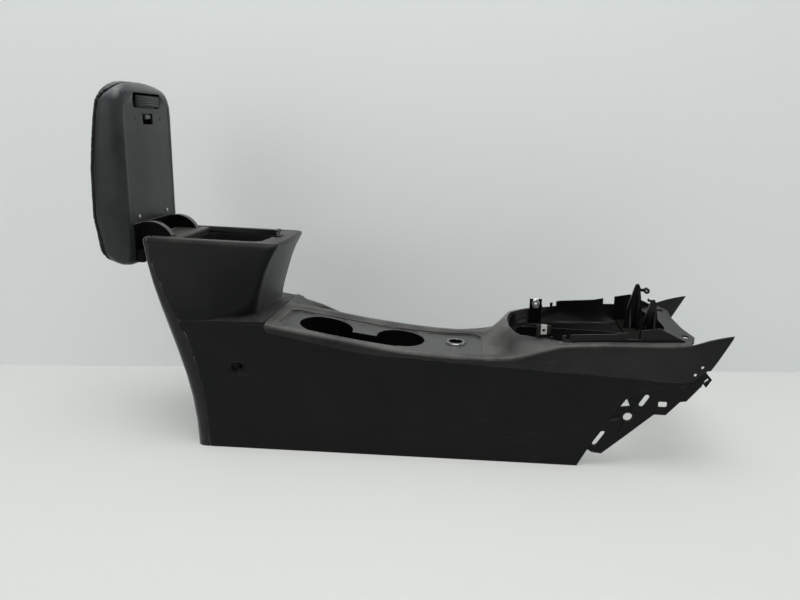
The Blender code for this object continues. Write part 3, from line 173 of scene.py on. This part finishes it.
def build_creases():
    """Embossed leather pattern: uneven cells with fine creases between them, larger in some places."""
    group, nodes, given, out = effect("leather creases", {"Size": 0.0018, "Unevenness": 0.4},
                                      ["Height", "Tone"])
    place = nodes.add("TexCoord").outputs["Object"]
    bend = nodes.add("TexNoise", {"Vector": place, "Scale": 160.0, "Detail": 3.0}).outputs["Color"]
    shifted = nodes.add("VectorMath", {0: bend, 1: (0.003, 0.003, 0.003), 2: place}, operation="MULTIPLY_ADD")
    density = nodes.math("DIVIDE", 1.0, given.outputs["Size"])
    cells = nodes.add("TexVoronoi", {"Vector": shifted.outputs[0], "Scale": density},
                      feature="DISTANCE_TO_EDGE")
    finer = nodes.math("MULTIPLY", density, 2.7)
    fine = nodes.add("TexVoronoi", {"Vector": shifted.outputs[0], "Scale": finer}, feature="DISTANCE_TO_EDGE")
    crown = nodes.ramp(cells.outputs["Distance"], 0.0, 0.2)
    narrow = nodes.ramp(fine.outputs["Distance"], 0.0, 0.2)
    small = nodes.math("MULTIPLY", narrow, given.outputs["Unevenness"])
    group.links.new(nodes.math("ADD", crown, small), out.inputs["Height"])
    group.links.new(crown, out.inputs["Tone"])
    return group


EFFECTS = {"grain": build_grain(), "creases": build_creases(), "wear": build_edge_wear(),
           "scuffs": build_scuffs(), "dust_and_top_light": build_dust_and_top_light()}


def moulded(name, color, worn, dust_and_top_light_color, roughness, grain=0.0011, depth=0.00004, wear=0.5, scuffs=0.3, dust_and_top_light=0.3,
            soft=0.0006, metallic=0.0, shine=0.35, sheen=0.0, seed=0.0, relief="grain"):
    """Finish of a moulded or plated surface: grain, uneven tone, worn edges, scuffs, dust and painted top
    light.
    """
    mat = bpy.data.materials.new(name)
    mat.use_nodes = True
    nodes = Nodes(mat.node_tree)
    shader = mat.node_tree.nodes["Principled BSDF"]
    shader.inputs["Metallic"].default_value = metallic
    shader.inputs["Specular IOR Level"].default_value = shine
    shader.inputs["Sheen Weight"].default_value = sheen
    shader.inputs["Sheen Roughness"].default_value = 0.35
    mat.diffuse_color = (*color, 1.0)

    def use(effect_name, links):
        node = nodes.add("Group", node_tree=EFFECTS[effect_name])
        for key, value in links.items():
            node.inputs[key].default_value = value
        return node
    pebbles = use(relief, {"Size": grain})
    rubbed = use("wear", {"Width": 0.0014})
    streaks = use("scuffs", {"Seed": seed})
    dust_and_top_light_film = use("dust_and_top_light", {})
    where = nodes.add("TexCoord").outputs["Object"]
    broad = nodes.add("TexNoise", {"Vector": where, "Scale": 5.0, "Detail": 4.0})
    tone = nodes.ramp(broad.outputs[0], 0.3, 0.7, 0.0, 1.0)
    darker = tuple(c * 0.86 for c in color)
    lighter = tuple(c * 1.14 for c in color)
    base = nodes.mix(tone, darker, lighter)
    base = nodes.mix(nodes.math("MULTIPLY", pebbles.outputs["Tone"], 0.18), base, lighter)
    base = nodes.mix(nodes.math("MULTIPLY", dust_and_top_light_film.outputs[0], dust_and_top_light), base, dust_and_top_light_color)
    base = nodes.mix(nodes.math("MULTIPLY", streaks.outputs[0], scuffs), base, worn)
    base = nodes.mix(nodes.math("MULTIPLY", rubbed.outputs[0], wear), base, worn)
    mat.node_tree.links.new(base, shader.inputs["Base Color"])
    gloss = nodes.ramp(broad.outputs[0], 0.3, 0.7, roughness - 0.04, roughness + 0.05)
    gloss = nodes.math("ADD", gloss, nodes.math("MULTIPLY", dust_and_top_light_film.outputs[0], 0.12))
    gloss = nodes.math("SUBTRACT", gloss, nodes.math("MULTIPLY", rubbed.outputs[0], 0.1), clamp=True)
    mat.node_tree.links.new(gloss, shader.inputs["Roughness"])
    rounded = nodes.add("Bevel", {"Radius": soft}, samples=4)
    bump = nodes.add("Bump", {"Height": pebbles.outputs["Height"], "Distance": depth, "Strength": 1.0,
                              "Normal": rounded.outputs[0]})
    mat.node_tree.links.new(bump.outputs[0], shader.inputs["Normal"])
    return mat


SAME_POINT = 0.000005
SAME_PLANE = math.radians(0.02)
AREA_WEIGHT = 80
PLAIN_CREASE = 32.0


def from_solid(node, finish, body="console", crease=PLAIN_CREASE):
    """Copy a solid of the frame, merge its corners and set its shading, so that the copy can be shown."""
    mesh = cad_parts[node].data.copy()
    mesh.name = "shown_" + node
    bm = bmesh.new()
    bm.from_mesh(mesh)
    bmesh.ops.remove_doubles(bm, verts=bm.verts, dist=SAME_POINT)
    bmesh.ops.dissolve_limit(bm, angle_limit=SAME_PLANE, verts=bm.verts, edges=bm.edges)
    bm.to_mesh(mesh)
    bm.free()
    mesh.materials.clear()
    mesh.materials.append(finish)
    mesh.shade_smooth()
    mesh.set_sharp_from_angle(angle=math.radians(crease))
    shown = bpy.data.objects.new(mesh.name, mesh)
    bpy.context.scene.collection.objects.link(shown)
    even = shown.modifiers.new("even shading", "WEIGHTED_NORMAL")
    even.keep_sharp = True
    even.weight = AREA_WEIGHT
    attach(shown, body)
    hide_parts(node)
    return shown


CHARCOAL = (0.004, 0.0053, 0.0047)
CHARCOAL_WORN = (0.03, 0.03, 0.027)
BROWN_DUST = (0.1, 0.088, 0.07)
charcoal = moulded("charcoal grained plastic", CHARCOAL, CHARCOAL_WORN, BROWN_DUST, 0.4, scuffs=0.3, dust_and_top_light=0.3,
                   shine=0.12, sheen=0.3)
for node in ("side_panel_right", "side_panel_left"):
    from_solid(node, charcoal)


# Rear cover and bin surround. Two mouldings in the same charcoal plastic, joined by the seam that runs
# up both rear corners; the surround carries the shelf at its foot and the rolled rim at its top.

# The rear cover gets a paler finish than the sides: its rubbed edges, scuffs and pale film are partly real
# wear and partly a painted glare.
RUBBED_AND_GLARE = (0.06, 0.06, 0.055)
charcoal_rubbed_and_glare = moulded("charcoal plastic, rubbed and with painted glare", CHARCOAL, RUBBED_AND_GLARE, BROWN_DUST, 0.36, scuffs=0.4,
                          dust_and_top_light=0.45, wear=0.8, shine=0.2, sheen=0.9)
from_solid("rear_cover", charcoal_rubbed_and_glare, crease=50.0)
from_solid("bin_surround", charcoal, crease=50.0)


# Tub of the storage bin, moulded in dull black plastic. It hangs by its flange under the surround's lip,
# well above the floor.

TUB_BLACK = (0.0035, 0.0038, 0.0042)
TUB_WORN = (0.03, 0.03, 0.03)
tub_black = moulded("dull black plastic", TUB_BLACK, TUB_WORN, BROWN_DUST, 0.6, scuffs=0.25, dust_and_top_light=0.12,
                    shine=0.2)
from_solid("bin_tub", tub_black)


# Deck behind the bin's mouth, moulded in a brownish grey plastic. It fills the place between the hinge
# arms, and its lugs carry the hinge pins.

BROWN_GREY = (0.034, 0.031, 0.027)
SATIN_WORN = (0.11, 0.112, 0.108)
GREY_DUST_AND_TOP_LIGHT = (0.15, 0.145, 0.13)
brown_grey = moulded("brownish grey plastic", BROWN_GREY, SATIN_WORN, GREY_DUST_AND_TOP_LIGHT, 0.36, grain=0.0009,
                     depth=0.00002, scuffs=0.3, dust_and_top_light=0.16)
from_solid("rear_deck", brown_grey)


# Striker on the bin's front rim, moulded in smooth black plastic. The armrest's hook snaps over it when
# the armrest is shut.

SMOOTH_BLACK = (0.0022, 0.0022, 0.0022)
gloss_black = moulded("smooth black plastic", SMOOTH_BLACK, (0.05, 0.05, 0.05), BROWN_DUST, 0.3, grain=0.002,
                      depth=0.00001, wear=0.35, scuffs=0.3, dust_and_top_light=0.12, shine=0.25)
from_solid("striker", gloss_black)


# Top finisher: one long painted moulding with the handbrake trough, the collar of the shift opening and
# the two ears at the front.

SATIN_BLACK = (0.0035, 0.0048, 0.0043)
# The strong pale film on the finisher's up-facing faces is partly dust and partly painted top light.
satin = moulded("satin black paint", SATIN_BLACK, SATIN_WORN, GREY_DUST_AND_TOP_LIGHT, 0.32, grain=0.0009, depth=0.000015,
                wear=0.3, scuffs=0.25, dust_and_top_light=0.75, shine=0.25, sheen=0.3)
from_solid("top_finisher", satin)


# Cup tray, a satin grey moulding with two cups and the finger channel between them, set into the
# finisher. Below the floor's edge the wells are painted near black as shade.

SATIN_GREY = (0.009, 0.0108, 0.0102)
tray_grey = moulded("satin grey plastic", SATIN_GREY, SATIN_WORN, GREY_DUST_AND_TOP_LIGHT, 0.34, grain=0.0008,
                    depth=0.000015, wear=0.4, scuffs=0.3, dust_and_top_light=0.15, shine=0.4, sheen=0.6)
CUP_SHADE_BLACK = (0.0012, 0.0013, 0.0014)
cup_painted_shade = moulded("painted shade in cup wells", CUP_SHADE_BLACK, (0.01, 0.01, 0.01), BROWN_DUST, 0.7, scuffs=0.2,
                    dust_and_top_light=0.04, wear=0.1, shine=0.05)
tray = from_solid("cup_tray", tray_grey)
tray.data.materials.append(cup_painted_shade)
TRAY_FLOOR = ((0.1, 0.1963), (0.15, 0.1895), (0.184, 0.1831), (0.218, 0.177), (0.253, 0.1717), (0.32, 0.1634),
              (0.3725, 0.1597), (0.424, 0.1582))    # along the console from the datum, and up


def level_at(along):
    """Height of the tray's floor at a place along the console."""
    before, after = max((pair for pair in zip(TRAY_FLOOR, TRAY_FLOOR[1:]) if pair[0][0] <= along),
                        key=lambda pair: pair[0][0], default=(TRAY_FLOOR[0], TRAY_FLOOR[1]))
    return before[1] + (along - before[0]) / (after[0] - before[0]) * (after[1] - before[1])


CUPS = ((0.1765, -0.0527, 0.041), (0.2915, -0.047, 0.037))    # centre along and across, and radius
CHANNEL = (-0.0885, -0.0555)
CUP_MARGIN = 0.0005
WELL_DEPTH = 0.006                  # deeper than this below the floor is a cup or the channel
RIM_DROP = 0.0007
STRIP_MARGIN = 0.01
CUT_TOLERANCE = 0.00002
CUP_RIM_BAND = (-0.0015, 0.0045)    # small tabs stand on the rim here, and are laid level
NEAR_EDGE = -0.0948
FLANGE = 0.0018
SAME_CORNER = 0.00005
bm = bmesh.new()
bm.from_mesh(tray.data)
for vertex in bm.verts:
    along = vertex.co.x - datum
    level = level_at(along)
    for x, y, radius in CUPS:
        outside = math.hypot(along - x, vertex.co.y - y) - radius
        if not CUP_RIM_BAND[0] < outside < CUP_RIM_BAND[1] or vertex.co.z < level + RIM_DROP:
            continue
        if vertex.co.y < y:
            vertex.co.z = level
            vertex.co.y = max(vertex.co.y, NEAR_EDGE)
        else:
            vertex.co.z = min(vertex.co.z, level + FLANGE)
bmesh.ops.remove_doubles(bm, verts=bm.verts, dist=SAME_CORNER)
for (x, z), (next_x, next_z) in zip(TRAY_FLOOR, TRAY_FLOOR[1:]):
    over = [face for face in bm.faces
            if x - STRIP_MARGIN < face.calc_center_bounds().x - datum < next_x + STRIP_MARGIN]
    around = over + list({edge for face in over for edge in face.edges})
    around += list({vertex for face in over for vertex in face.verts})
    bmesh.ops.bisect_plane(bm, geom=around, plane_co=(x + datum, 0.0, z - RIM_DROP),
                           plane_no=(z - next_z, 0.0, next_x - x), dist=CUT_TOLERANCE)
# Faces of the cups and the channel well below the floor's edge get the painted shade.
for face in bm.faces:
    middle = face.calc_center_median()
    along = middle.x - datum
    level = level_at(along)
    lowest = min(vertex.co.z for vertex in face.verts)
    in_cup = any(math.hypot(along - x, middle.y - y) < radius + CUP_MARGIN for x, y, radius in CUPS)
    in_channel = CUPS[0][0] < along < CUPS[1][0] and CHANNEL[0] < middle.y < CHANNEL[1]
    if middle.z < level - RIM_DROP and lowest < level - WELL_DEPTH and (in_cup or in_channel):
        face.material_index = 1
bm.to_mesh(tray.data)
bm.free()
tray.modifiers.clear()
tray.data.set_sharp_from_angle(angle=math.radians(PLAIN_CREASE))
FLAT_ENOUGH = 0.95
SLOPE_REACH = 0.02
corner_normals = [tuple(corner.vector) for corner in tray.data.corner_normals]
for face in tray.data.polygons:
    if face.normal.z < FLAT_ENOUGH:
        continue
    for corner in face.loop_indices:
        along = tray.data.vertices[tray.data.loops[corner].vertex_index].co.x - datum
        ahead = level_at(along + SLOPE_REACH)
        behind = level_at(along - SLOPE_REACH)
        corner_normals[corner] = tuple(Vector((behind - ahead, 0.0, 2 * SLOPE_REACH)).normalized())
tray.data.normals_split_custom_set(corner_normals)


# Power socket: a nickel-plated ring and floor contact in a black plastic barrel, which sits in the round
# hole at the tray's front.

NICKEL = (0.26, 0.26, 0.25)
nickel = moulded("nickel plating", NICKEL, (0.75, 0.75, 0.73), (0.3, 0.28, 0.25), 0.22, grain=0.004,
                 depth=0.000003, wear=0.3, scuffs=0.5, dust_and_top_light=0.12, metallic=1.0)
for node in ("socket_bezel", "socket_contact"):
    from_solid(node, nickel)
from_solid("socket_barrel", tub_black)


# Frame of the gear shift, moulded in smooth black plastic, with tabs, posts and the front ramp. It sits
# in the shift opening of the top finisher.

from_solid("shift_frame", gloss_black, crease=28.0)


# Spring nuts, folded from zinc-plated spring steel and clipped over the frame's tabs, and the plated
# pins that the armrest turns on.

ZINC = (0.5, 0.5, 0.47)
zinc = moulded("zinc plating", ZINC, (0.65, 0.65, 0.62), (0.3, 0.26, 0.2), 0.36, grain=0.003, depth=0.000006,
               wear=0.3, scuffs=0.5, dust_and_top_light=0.3, metallic=0.9)
for node in ("spring_nut_right", "spring_nut_left", "hinge_pin_right", "hinge_pin_left"):
    from_solid(node, zinc)


# Hinge bracket of the armrest, one black moulding with two curved arms whose rims carry a painted
# highlight in grey, and the plated screws beside the arms.

rim_painted_highlight = moulded("painted highlight on arm rim", (0.03, 0.032, 0.033), (0.2, 0.2, 0.2), GREY_DUST_AND_TOP_LIGHT, 0.3, grain=0.002,
                   depth=0.00001, wear=0.6, scuffs=0.4, dust_and_top_light=0.1, shine=0.5, sheen=0.5)
arm_black = moulded("black arm web", (0.0015, 0.0015, 0.0015), (0.01, 0.01, 0.01), BROWN_DUST, 0.6, wear=0.1,
                    scuffs=0.2, dust_and_top_light=0.05, shine=0.1)
bracket = from_solid("hinge_bracket", arm_black, "lid")
bracket.data.materials.append(rim_painted_highlight)
ARM_RIM_REACH = 0.02
FACES_SIDEWAYS = 0.5
hinge_axis = (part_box("hinge_pin_right")[0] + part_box("hinge_pin_right")[1]) / 2
# Rim faces that look away from the pins get the lighter grey, a painted highlight.
for face in bracket.data.polygons:
    off_axis = Vector((face.center.x - hinge_axis.x, 0.0, face.center.z - hinge_axis.z))
    on_rim = abs(face.normal.y) < FACES_SIDEWAYS and off_axis.length > ARM_RIM_REACH
    if on_rim and face.normal.dot(off_axis) > 0.0:
        face.material_index = 1
for node in ("arm_screw_right", "arm_screw_left"):
    from_solid(node, zinc, "lid")


# Deep shell of the armrest, moulded in grained grey plastic with a rounded nose above the latch, and the
# hard plate that closes its rim.

PANEL_GREY = (0.0055, 0.007, 0.0078)
PALE_DUST_AND_TOP_LIGHT = (0.42, 0.44, 0.45)
# The pale film on the shell's up-facing faces, most on the rounded nose, is partly dust and partly a painted
# highlight.
panel_grey = moulded("grained grey plastic", PANEL_GREY, SATIN_WORN, PALE_DUST_AND_TOP_LIGHT, 0.34, scuffs=0.2, dust_and_top_light=0.5,
                     shine=0.35, sheen=0.15)
LID_LEAN = math.radians(87.5)
UP_THE_LID = Vector((math.cos(LID_LEAN), 0.0, math.sin(LID_LEAN)))
OUT_OF_LID = Vector((math.sin(LID_LEAN), 0.0, -math.cos(LID_LEAN)))
NOSE_START = 0.2250                # measured along the lid from the hinge pins
NOSE_LENGTH = 0.015
NOSE_ROUNDING = 0.0075
NOSE_FADE = 0.02
NOSE_CUTS = 6
NOSE_CREASE = 40.0
shell = from_solid("lid_inner_panel", panel_grey, "lid")
bm = bmesh.new()
bm.from_mesh(shell.data)
for step in range(1, NOSE_CUTS + 1):
    level = NOSE_START + NOSE_LENGTH * step / (NOSE_CUTS + 1)
    bmesh.ops.bisect_plane(bm, geom=bm.verts[:] + bm.edges[:] + bm.faces[:], dist=CUT_TOLERANCE,
                           plane_co=hinge_axis + UP_THE_LID * level, plane_no=UP_THE_LID)
crown = max(vertex.co.dot(OUT_OF_LID) for vertex in bm.verts)
for vertex in bm.verts:
    up = min(1.0, max(0.0, (vertex.co - hinge_axis).dot(UP_THE_LID) - NOSE_START) / NOSE_LENGTH)
    fade = max(0.0, 1.0 - (crown - vertex.co.dot(OUT_OF_LID)) / NOSE_FADE)
    vertex.co -= OUT_OF_LID * NOSE_ROUNDING * up ** 2 * fade
bm.to_mesh(shell.data)
bm.free()
shell.data.set_sharp_from_angle(angle=math.radians(NOSE_CREASE))
from_solid("lid_core", panel_grey, "lid")


# Latch paddle with its hook, moulded in ribbed grey plastic, and the plated pin it turns on. The paddle's
# plate is hollowed at one end, where a finger presses it.

paddle_grey = moulded("ribbed grey plastic", (0.02, 0.022, 0.023), (0.3, 0.3, 0.3), PALE_DUST_AND_TOP_LIGHT, 0.3,
                      grain=0.002, depth=0.00001, wear=0.9, scuffs=0.2, dust_and_top_light=0.3, shine=0.5, sheen=0.4)
PADDLE_FOOT = 0.2045
RIB_HEIGHT = 0.0008
PADDLE_MIDDLE = 0.2152
PADDLE_THICK = 0.0046
SHRINK_UP = 0.84
SHRINK_ACROSS = 0.8
MOVE_ACROSS = 0.0045
FINGER_SCOOP = 0.0045
SCOOP_START = -0.008
SCOOP_LENGTH = 0.028
FACES_OUT = 0.9
paddle = from_solid("latch_button", paddle_grey, "latch")
paddle.data.materials.append(gloss_black)
crown = max(vertex.co.dot(OUT_OF_LID) for vertex in paddle.data.vertices)
# Faces between the ribs get the smooth black: painted shade in the grooves.
for face in paddle.data.polygons:
    up = (face.center - hinge_axis).dot(UP_THE_LID)
    between_ribs = face.center.dot(OUT_OF_LID) < crown - RIB_HEIGHT / 2
    if up > PADDLE_FOOT and face.normal.dot(OUT_OF_LID) > FACES_OUT and between_ribs:
        face.material_index = 1
for vertex in paddle.data.vertices:
    up = (vertex.co - hinge_axis).dot(UP_THE_LID)
    if up < PADDLE_FOOT or vertex.co.dot(OUT_OF_LID) < crown - PADDLE_THICK:
        continue
    vertex.co += UP_THE_LID * (PADDLE_MIDDLE - up) * (1.0 - SHRINK_UP)
    vertex.co.y = vertex.co.y * SHRINK_ACROSS + MOVE_ACROSS
    near_end = min(1.0, max(0.0, (SCOOP_START - vertex.co.y) / SCOOP_LENGTH))
    vertex.co -= OUT_OF_LID * FINGER_SCOOP * near_end ** 2
from_solid("latch_pin", zinc, "lid")


# Padded cover of the armrest: charcoal vinyl drawn over foam and tucked into the shell's rim. The foam's
# push is a short cloth simulation with pressure; the tucked edge and the underside are held.

VINYL = (0.0045, 0.006, 0.0066)
vinyl = moulded("embossed vinyl", VINYL, CHARCOAL_WORN, PALE_DUST_AND_TOP_LIGHT, 0.42, grain=0.0022, depth=0.0001,
                scuffs=0.1, dust_and_top_light=0.2, shine=0.3, sheen=0.6, relief="creases")
LONGEST_STITCH = 0.0065
MOST_SWELL = 0.0035
FOAM_PUSH = 4.0
SIMULATED_FRAMES = 20
RIM_OVERLAP = 0.0045
PLATE_COVER = 0.0024
SPLIT_ROUNDS = 6
TURNED_UNDER = -0.25
FACES_PLATE = 0.5
cover = from_solid("lid_cushion", vinyl, "lid", crease=60.0)
cover.modifiers.clear()
bm = bmesh.new()
bm.from_mesh(cover.data)
bmesh.ops.triangulate(bm, faces=bm.faces)
for _ in range(SPLIT_ROUNDS):
    long_edges = [edge for edge in bm.edges if edge.calc_length() > LONGEST_STITCH]
    bmesh.ops.subdivide_edges(bm, edges=long_edges, cuts=1)
    bmesh.ops.triangulate(bm, faces=bm.faces)
    bmesh.ops.beautify_fill(bm, faces=bm.faces, edges=bm.edges)
bm.normal_update()
half_width = max(vertex.co.y for vertex in bm.verts)
bmesh.ops.scale(bm, vec=(1.0, 1.0 + RIM_OVERLAP / half_width, 1.0), verts=bm.verts)
tucked = [vertex for vertex in bm.verts if vertex.normal.x > TURNED_UNDER]
underside = [vertex for vertex in tucked if vertex.normal.x > FACES_PLATE]
bmesh.ops.translate(bm, vec=(PLATE_COVER, 0.0, 0.0), verts=underside)
held = [vertex.index for vertex in tucked]
bm.to_mesh(cover.data)
bm.free()
pinned = cover.vertex_groups.new(name="tucked edge")
pinned.add(held, 1.0, "REPLACE")
cloth = cover.modifiers.new("foam", "CLOTH")
cloth.settings.use_pressure = True
cloth.settings.uniform_pressure_force = FOAM_PUSH
cloth.settings.effector_weights.gravity = 0.0
cloth.settings.vertex_group_mass = "tucked edge"
cloth.point_cache.frame_start = 1
cloth.point_cache.frame_end = SIMULATED_FRAMES
scene = bpy.context.scene
for step in range(1, SIMULATED_FRAMES + 1):
    scene.frame_set(step)
pushed = cover.evaluated_get(bpy.context.evaluated_depsgraph_get()).to_mesh()
moves = [after.co - before.co for before, after in zip(cover.data.vertices, pushed.vertices)]
cover.modifiers.clear()
scene.frame_set(1)
for vertex, move in zip(cover.data.vertices, moves):
    vertex.co += move * min(1.0, MOST_SWELL / max(move.length, 1e-9))
round_off = cover.modifiers.new("round off", "SUBSURF")
round_off.levels = round_off.render_levels = 1


# Studio: a pale floor that runs up into a wall behind the console, one broad lamp overhead and two
# weaker ones, and the camera at the photograph's angle.

WALL_Y = 0.2618
WALL_TURN = math.radians(4.43)
FLOOR_HALF = 4.0
WALL_HEIGHT = 3.0
UNDER_PART = 0.0004
EVEN_GLOW = 0.3


def pale(name, color, glow, see_through_from_behind):
    mat = bpy.data.materials.new(name)
    mat.use_nodes = True
    nodes = Nodes(mat.node_tree)
    shader = mat.node_tree.nodes["Principled BSDF"]
    shader.inputs["Roughness"].default_value = 0.75
    shader.inputs["Specular IOR Level"].default_value = 0.2
    place = nodes.add("TexCoord").outputs["Object"]
    cloud = nodes.add("TexNoise", {"Vector": place, "Scale": 1.3, "Detail": 4.0})
    darker = tuple(c * 0.97 for c in color)
    mat.node_tree.links.new(nodes.mix(cloud.outputs[0], darker, color), shader.inputs["Base Color"])
    seen = nodes.add("LightPath")
    by_eye = nodes.math("MAXIMUM", seen.outputs["Is Camera Ray"], seen.outputs["Is Glossy Ray"])
    lit = nodes.add("Emission", {"Color": (*glow, 1.0), "Strength": 1.0})
    surface = nodes.add("MixShader", {0: nodes.math("MULTIPLY", by_eye, EVEN_GLOW), 1: shader.outputs[0],
                                      2: lit.outputs[0]})
    if see_through_from_behind:
        clear = nodes.add("BsdfTransparent")
        surface = nodes.add("MixShader", {0: nodes.add("NewGeometry").outputs["Backfacing"],
                                          1: surface.outputs[0], 2: clear.outputs[0]})
    mat.node_tree.links.new(surface.outputs[0], mat.node_tree.nodes["Material Output"].inputs["Surface"])
    return mat


def stage_plane(name, size, place, mat):
    bm = bmesh.new()
    bmesh.ops.create_grid(bm, x_segments=1, y_segments=1, size=1.0)
    bmesh.ops.transform(bm, matrix=place @ Matrix.Diagonal((*size, 1.0, 1.0)), verts=bm.verts)
    mesh = bpy.data.meshes.new(name)
    bm.to_mesh(mesh)
    bm.free()
    mesh.materials.append(mat)
    plane = bpy.data.objects.new(name, mesh)
    bpy.context.scene.collection.objects.link(plane)


stage_plane("floor", (FLOOR_HALF, FLOOR_HALF), Matrix.Translation((0.0, 0.0, -UNDER_PART)),
            pale("pale floor", (0.645, 0.65, 0.635), (0.72, 0.74, 0.71), False))
stage_plane("backdrop", (FLOOR_HALF, WALL_HEIGHT),
            Matrix.Translation((0.0, WALL_Y, 0.0)) @ Matrix.Rotation(WALL_TURN, 4, "Z")
            @ Matrix.Rotation(math.radians(90.0), 4, "X"),
            pale("pale wall", (0.78, 0.81, 0.8), (0.66, 0.7, 0.69), True))


def lamp(name, place, aim, size, power):
    data = bpy.data.lights.new(name, "AREA")
    data.shape = "RECTANGLE"
    data.size, data.size_y = size
    data.energy = power
    lit = bpy.data.objects.new(name, data)
    lit.location = place
    lit.rotation_euler = (Vector(aim) - Vector(place)).to_track_quat("-Z", "Y").to_euler()
    bpy.context.scene.collection.objects.link(lit)


lamp("ceiling panel", (-0.2, -0.1, 2.1), (0.0, 0.0, 0.2), (2.4, 1.4), 50.0)
lamp("front fill", (-1.8, -2.2, 1.2), (0.0, 0.0, 0.2), (2.0, 1.4), 12.0)
lamp("window beside it", (2.3, -0.5, 1.1), (0.0, 0.0, 0.3), (1.4, 1.2), 5.0)

world = bpy.data.worlds.new("studio air")
world.use_nodes = True
world.node_tree.nodes["Background"].inputs["Color"].default_value = (0.93, 0.95, 0.95, 1.0)
world.node_tree.nodes["Background"].inputs["Strength"].default_value = 0.38
bpy.context.scene.world = world

CAMERA_AT = Vector((0.4117, -0.9964, 0.4778))       # measured from the datum
RIGHT = Vector((0.99224868, 0.12401351, -0.00794994))
DOWN = Vector((0.02380237, -0.25245607, -0.96731555))
FORWARD = Vector((-0.12196721, 0.95962835, -0.25345102))
FOCAL_LENGTH = 29.25
camera = bpy.data.objects.new("camera", bpy.data.cameras.new("camera"))
camera.data.lens = FOCAL_LENGTH
camera.data.sensor_width = 36.0
axes = Matrix((RIGHT, -DOWN, -FORWARD)).transposed().to_4x4()
camera.matrix_world = Matrix.Translation(CAMERA_AT + Vector((datum, 0.0, 0.0))) @ axes
bpy.context.scene.collection.objects.link(camera)
bpy.context.scene.camera = camera
bpy.context.scene.view_settings.view_transform = "Standard"
